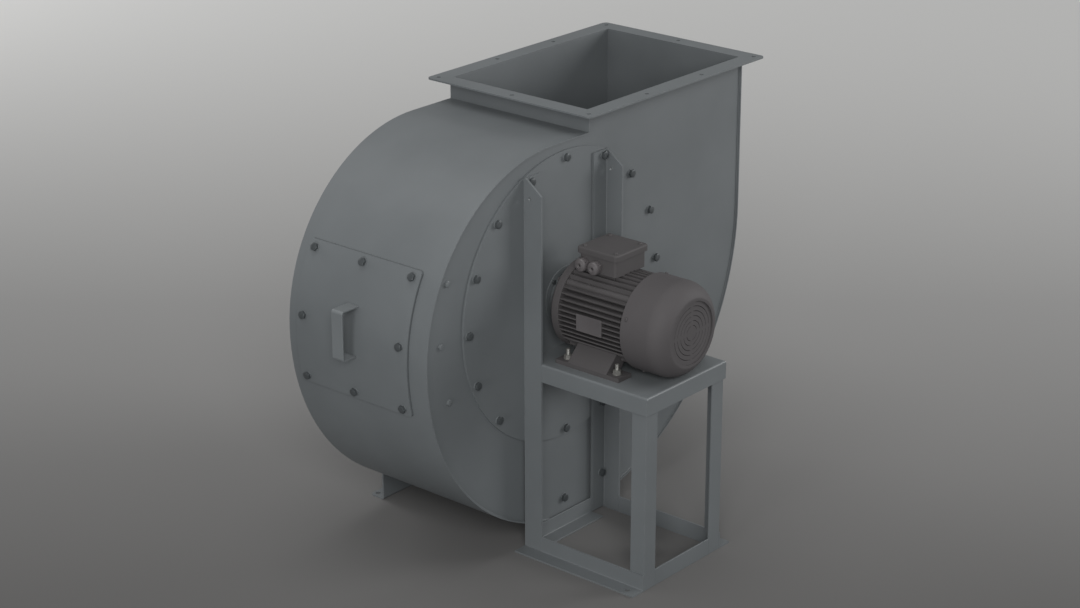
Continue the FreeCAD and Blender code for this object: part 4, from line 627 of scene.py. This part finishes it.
def measureSolid(points):
    # A fastener's own axis, from its seat towards its head, and its radii and heights in millimetres
    middle = points.mean(axis=0)
    values, vectors = numpy.linalg.eigh(numpy.cov((points - middle).T))
    lone = 0 if values[1] - values[0] > values[2] - values[1] else 2
    axis = vectors[:, lone]
    along = (points - middle) @ axis / mm
    across = numpy.linalg.norm(points - middle - numpy.outer(along * mm, axis), axis=1) / mm
    tailWidth = across[along < along.min() + 0.1].max()
    topWidth = across[along > along.max() - 0.1].max()
    if tailWidth > topWidth:
        axis = -axis
        along = -along
    wide = across.max()
    outer = along[across > 0.97 * wide]
    return {
        "axis": axis, "seat": middle + axis * outer.min() * mm, "wide": wide, "narrow": across.min(),
        "height": outer.max() - outer.min(), "reach": outer.min() - along.min(),
        "hexagonal": len(outer) <= 12,
    }


def makeHexBlock(name, corner, height):
    # A hexagon block whose top corners are turned off by a 30 degree cone
    middle = (0, 0, height * mm / 2)
    bpy.ops.mesh.primitive_cylinder_add(vertices=6, radius=corner * mm, depth=height * mm, location=middle)
    block = newPrimitive(name)
    applyPlace(block)
    crown = fastenerLook["crown"] * corner * sqrt(3)
    bpy.ops.mesh.primitive_cone_add(vertices=36, radius1=(crown + height * sqrt(3)) * mm, radius2=crown * mm,
                                    depth=height * mm, location=middle)
    cone = newPrimitive(name + "Cone")
    applyPlace(cone)
    applyModifier(block, "BOOLEAN", operation="INTERSECT", object=cone, solver="EXACT")
    removePiece(cone)
    return block


def makeShank(name, radius, reach):
    # A shank below the seat, with thread grooves near its end and a chamfered tip
    pitch = fastenerLook["threadPitch"]
    chamfer = fastenerLook["tipChamfer"]
    core = radius - fastenerLook["threadDepth"]
    outline = [(0, -reach), (core - chamfer, -reach), (core, -reach + chamfer)]
    height = -reach + chamfer
    top = min(-reach + fastenerLook["threadShown"], -pitch)
    while height + pitch < top:
        outline += [(radius, height + pitch / 2), (core, height + pitch)]
        height += pitch
    outline += [(radius, height + 0.5), (radius, 0), (0, 0)]
    return spinOutline(name, outline, 20)


def makeFastener(name, size):
    # A bolt with a hexagon head, a screw with a round one, or a washer, with the nut on it if there is one
    r, h = size["wide"], size["height"]
    hasShank = size["reach"] > fastenerLook["leastReach"]
    parts = []
    if hasShank:
        parts.append(makeShank(name + "Shank", size["narrow"], size["reach"]))
    if size["hexagonal"]:
        parts.append(makeHexBlock(name + "Head", r, h))
    elif hasShank:
        # Domed, with a recess in the middle for the driver
        parts.append(spinOutline(name + "Head", [
            (0, h * 0.55), (0.28 * r, h * 0.62), (0.34 * r, h), (0.72 * r, h * 0.94),
            (0.93 * r, h * 0.62), (r, h * 0.2), (r, 0), (0, 0),
        ], 24))
    else:
        edge = fastenerLook["edge"]
        bore = size["narrow"]
        base = 0
        if h > fastenerLook["nutHeight"]:
            base = fastenerLook["nutHeight"]
            parts.append(makeTopNut(name + "Nut", base))
        parts.append(spinOutline(name + "Washer", [
            (bore, base), (r - edge, base), (r, base + edge),
            (r, h - edge), (r - edge, h), (bore, h), (bore, base),
        ], 28))
    return joinPieces(parts, name)


def makeTopNut(name, height):
    # A nut that touches its washer is measured with it, from the top of the nut down
    block = makeHexBlock(name, fastenerLook["nutFlats"] / sqrt(3), height)
    block.data.transform(Matrix.Translation((0, 0, height * mm)) @ Matrix.Rotation(pi, 4, "X"))
    return block


def rebuildFasteners(node):
    # Every fastener of a node, in its own size and place. The washers of blackened bolts are painted
    masters = {}
    bare = []
    painted = []
    for index, points in enumerate(solidsOf(node)):
        size = measureSolid(points)
        key = tuple(round(size[name], 1) for name in ("wide", "narrow", "height", "reach"))
        if key not in masters:
            masters[key] = makeFastener(f"{node}_master{len(masters)}", size)
        matrix = turnedTo(size["seat"], size["axis"], index * fastenerLook["twist"])
        isWasher = size["reach"] < fastenerLook["leastReach"] and not size["hexagonal"]
        group = painted if isWasher and slotOf[node] == "dark_fasteners" else bare
        group.append(copyPlaced(masters[key], f"{node}_{index}", matrix))
    for master in masters.values():
        removePiece(master)
    piece = joinPieces(bare, node + "_turned")
    smoothByAngle(piece, meshCare["turnedSmooth"])
    finishPiece(piece, slotOf[node], bodyOf[node], node)
    if painted:
        washers = joinPieces(painted, node + "_washers")
        smoothByAngle(washers, meshCare["turnedSmooth"])
        finishPiece(washers, "housing_paint", bodyOf[node])


for nodeName in fastenerNodes:
    rebuildFasteners(nodeName)
print("fasteners: done")


# Rating plate: blank, with a raised rim and four rivets

plateLook = {"rim": 1.6, "sunk": 0.3, "edge": 0.2, "rivetRadius": 1.7, "rivetHeight": 0.8, "rivetInset": 4.5}


def makeRatingPlate():
    low, high = nodeBox("nameplate")
    bpy.ops.mesh.primitive_cube_add(size=1, location=(low + high) / 2, scale=high - low)
    plate = newPrimitive("RatingPlate")
    applyPlace(plate)
    enterEdit(plate)
    selectFaces(plate, lambda face: face.normal.x < -0.9)
    bpy.ops.mesh.inset(thickness=plateLook["rim"] * mm)
    bpy.ops.transform.translate(value=(plateLook["sunk"] * mm, 0, 0))
    leaveEdit()
    bevelSharp(plate, plateLook["edge"] * mm)
    r, h = plateLook["rivetRadius"], plateLook["rivetHeight"]
    dome = [(0, h), (0.6 * r, 0.85 * h), (0.92 * r, 0.45 * h), (r, 0), (0, 0)]
    rivet = spinOutline("RatingPlateRivet", dome, 20)
    inset = plateLook["rivetInset"] * mm
    face = low[0] + plateLook["sunk"] * mm
    rivets = []
    for y in (low[1] + inset, high[1] - inset):
        for z in (low[2] + inset, high[2] - inset):
            rivets.append(copyPlaced(rivet, "RatingPlateRivetCopy", turnedTo((face, y, z), (-1, 0, 0))))
    removePiece(rivet)
    plate = joinPieces([plate] + rivets, "RatingPlate")
    smoothByAngle(plate, meshCare["sheetSmooth"])
    finishPiece(plate, "plate_aluminium", "housing", "nameplate")


makeRatingPlate()
print("rating plate: done")


# Cable glands: hexagon body, domed cap with grips, and a rubber seal with an open middle

glandLook = {
    "hexLength": 7.0, "hexFlats": 27.0, "neck": 13.0, "capRadius": 15.5, "capStart": 8.0, "capEnd": 20.0,
    "mouth": 6.0, "sealDepth": 1.0, "sealHole": 3.0, "grips": 12, "gripDepth": 0.7,
}


def makeGlandCap(look):
    start, end, outer, mouth = look["capStart"], look["capEnd"], look["capRadius"], look["mouth"]
    steps = 4 * look["grips"]
    cap = spinOutline("GlandCap", [
        (look["neck"], look["hexLength"]), (look["neck"], start), (outer, start), (outer, end - 6),
        (outer - 0.5, end - 4), (outer - 2.2, end - 1.8), (mouth + 1.6, end - 0.3), (mouth + 0.6, end),
        (mouth, end - 0.6), (mouth, end - look["sealDepth"] - 4),
    ], steps)
    enterEdit(cap)
    low, high = (start + 0.5) * mm, (end - 5.8) * mm

    def isGroove(face):
        # One face in four round the straight side of the cap
        middle = face.calc_center_median()
        turn = middle.to_2d().angle_signed(Vector((1, 0))) / (2 * pi)
        onSide = low < middle.z < high and middle.to_2d().length > (outer - 0.3) * mm
        return onSide and int(round(turn * steps - 0.5)) % 4 == 0

    selectFaces(cap, isGroove)
    bpy.ops.mesh.inset(thickness=0.3 * mm, use_individual=True)
    bpy.ops.transform.shrink_fatten(value=-look["gripDepth"] * mm)
    leaveEdit()
    return cap


def makeGlandSeal(look):
    end = look["capEnd"] - look["sealDepth"]
    outer, hole = look["mouth"] + 0.2, look["sealHole"]
    outline = [(outer, end - 3), (outer, end), (hole + 0.8, end), (hole, end - 0.8), (hole, end - 6)]
    return spinOutline("GlandSeal", outline, 32)


def makeGlands():
    look = glandLook
    body = makeHexBlock("GlandBody", look["hexFlats"] / sqrt(3), look["hexLength"])
    cap = makeGlandCap(look)
    seal = makeGlandSeal(look)
    bodies = []
    seals = []
    for points in solidsOf("cable_glands"):
        low, high = points.min(axis=0), points.max(axis=0)
        middle = (low + high) / 2
        matrix = turnedTo((low[0] + look["capEnd"] * mm, middle[1], middle[2]), (-1, 0, 0))
        bodies += [copyPlaced(body, "GlandBodyCopy", matrix), copyPlaced(cap, "GlandCapCopy", matrix)]
        seals.append(copyPlaced(seal, "GlandSealCopy", matrix))
    for master in (body, cap, seal):
        removePiece(master)
    glands = joinPieces(bodies, "CableGlands")
    smoothByAngle(glands, meshCare["turnedSmooth"])
    finishPiece(glands, "gland_plastic", "housing", "cable_glands")
    sealPiece = joinPieces(seals, "GlandSeals")
    smoothByAngle(sealPiece, meshCare["sealSmooth"])
    finishPiece(sealPiece, "gland_plastic", "housing")


makeGlands()
print("cable glands: done")


# Camera, light and floor

photoCamera = {
    "place": (-4.0308, -3.4468, 2.6033), "turn": 49.39, "down": 21.24, "roll": -0.09,
    "lens": 82.92, "sensor": 36.0,
}


def makeCamera():
    data = bpy.data.cameras.new("PhotoCamera")
    data.sensor_width = photoCamera["sensor"]
    data.lens = photoCamera["lens"]
    data.clip_end = 200
    camera = bpy.data.objects.new("PhotoCamera", data)
    bpy.context.scene.collection.objects.link(camera)
    heading = Matrix.Rotation(radians(-photoCamera["turn"]), 4, "Z")
    tilt = Matrix.Rotation(radians(90 - photoCamera["down"]), 4, "X")
    roll = Matrix.Rotation(radians(photoCamera["roll"]), 4, "Z")
    camera.matrix_world = Matrix.Translation(photoCamera["place"]) @ heading @ tilt @ roll
    bpy.context.scene.camera = camera


studio = {
    "lamps": {       # place, aim, diameter and power of each soft box
        "LowLeftBox": ((-6.0, -1.0, 0.9), (0.0, 0.1, 0.5), 1.8, 75),
        "CameraBox": ((-4.5, -4.0, 3.5), (0.1, 0.0, 0.5), 3.0, 190),
        "RightBox": ((5.0, -4.0, 2.4), (0.1, 0.0, 0.5), 3.0, 180),
        "TopBox": ((-0.5, 0.6, 6.0), (0.1, 0.1, 0.5), 4.0, 80),
        "BackBox": ((0.3, 7.4, 3.2), (0.0, 0.2, 0.9), 3.5, 135),
    },
    "worldLevel": 0.486, "worldColour": "#bfc1c2", "floorSize": 60.0, "floorLit": "#7d7f80",
    # painted light on the floor: its colour at each distance behind the object
    "floorPaintedLight": ((-0.5, "#6a6968"), (1.4, "#999897"), (5.0, "#eae9e7")),    # metres behind the object
}


def addLight(name, place, aim, size, power):
    data = bpy.data.lights.new(name, "AREA")
    data.shape = "DISK"
    data.size = size
    data.energy = power
    light = bpy.data.objects.new(name, data)
    bpy.context.scene.collection.objects.link(light)
    light.location = place
    light.rotation_euler = (Vector(place) - Vector(aim)).to_track_quat("Z", "Y").to_euler()


def makeStudio():
    for name, (place, aim, size, power) in studio["lamps"].items():
        addLight(name, place, aim, size, power)
    world = bpy.data.worlds.new("Studio")
    world.use_nodes = True
    bpy.context.scene.world = world
    background = world.node_tree.nodes["Background"]
    background.inputs["Color"].default_value = fromHex(studio["worldColour"])
    background.inputs["Strength"].default_value = studio["worldLevel"]


def makeFloor():
    # The floor's colour is a painted light gradient, darker at the front and paler at the back, as under a
    # lamp behind the object
    deselectAll()
    bpy.ops.mesh.primitive_plane_add(size=studio["floorSize"], location=(0, 0, -0.1 * mm))
    floor = newPrimitive("Floor")
    applyPlace(floor)
    material, coordinates = startMaterial("PaintedStudioFloor")
    heading = (sin(radians(photoCamera["turn"])), cos(radians(photoCamera["turn"])), 0)
    depth = addNode(material, "ShaderNodeVectorMath", {"operation": "DOT_PRODUCT", 1: heading},
                    {0: (coordinates, "Object")})
    paintedLightSteps = studio["floorPaintedLight"]
    start, end = paintedLightSteps[0][0], paintedLightSteps[-1][0]
    share = addNode(material, "ShaderNodeMapRange", {"From Min": start, "From Max": end},
                    {"Value": (depth, "Value")})
    ramp = addNode(material, "ShaderNodeValToRGB", links={"Fac": (share, "Result")})
    while len(ramp.color_ramp.elements) < len(paintedLightSteps):
        ramp.color_ramp.elements.new(0.5)
    for element, (distance, colour) in zip(ramp.color_ramp.elements, paintedLightSteps):
        element.position = (distance - start) / (end - start)
        element.color = fromHex(colour)
    # The camera and reflections see the painted light gradient, and the light that the floor throws back
    # stays even
    path = addNode(material, "ShaderNodeLightPath")
    seen = (path, "Is Camera Ray")
    for ray in ("Is Glossy Ray", "Is Transmission Ray"):
        either = addNode(material, "ShaderNodeMath", {"operation": "MAXIMUM"}, {0: seen, 1: (path, ray)})
        seen = (either, "Value")
    colour = addMix(material, seen, studio["floorLit"], (ramp, "Color"))
    shader = addNode(material, "ShaderNodeBsdfDiffuse", links={"Color": (colour, 2)})
    endMaterial(material, shader)
    floor.data.materials.append(material)


makeCamera()
makeStudio()
makeFloor()
bpy.context.scene.view_settings.view_transform = "Standard"
print("camera and studio: done")
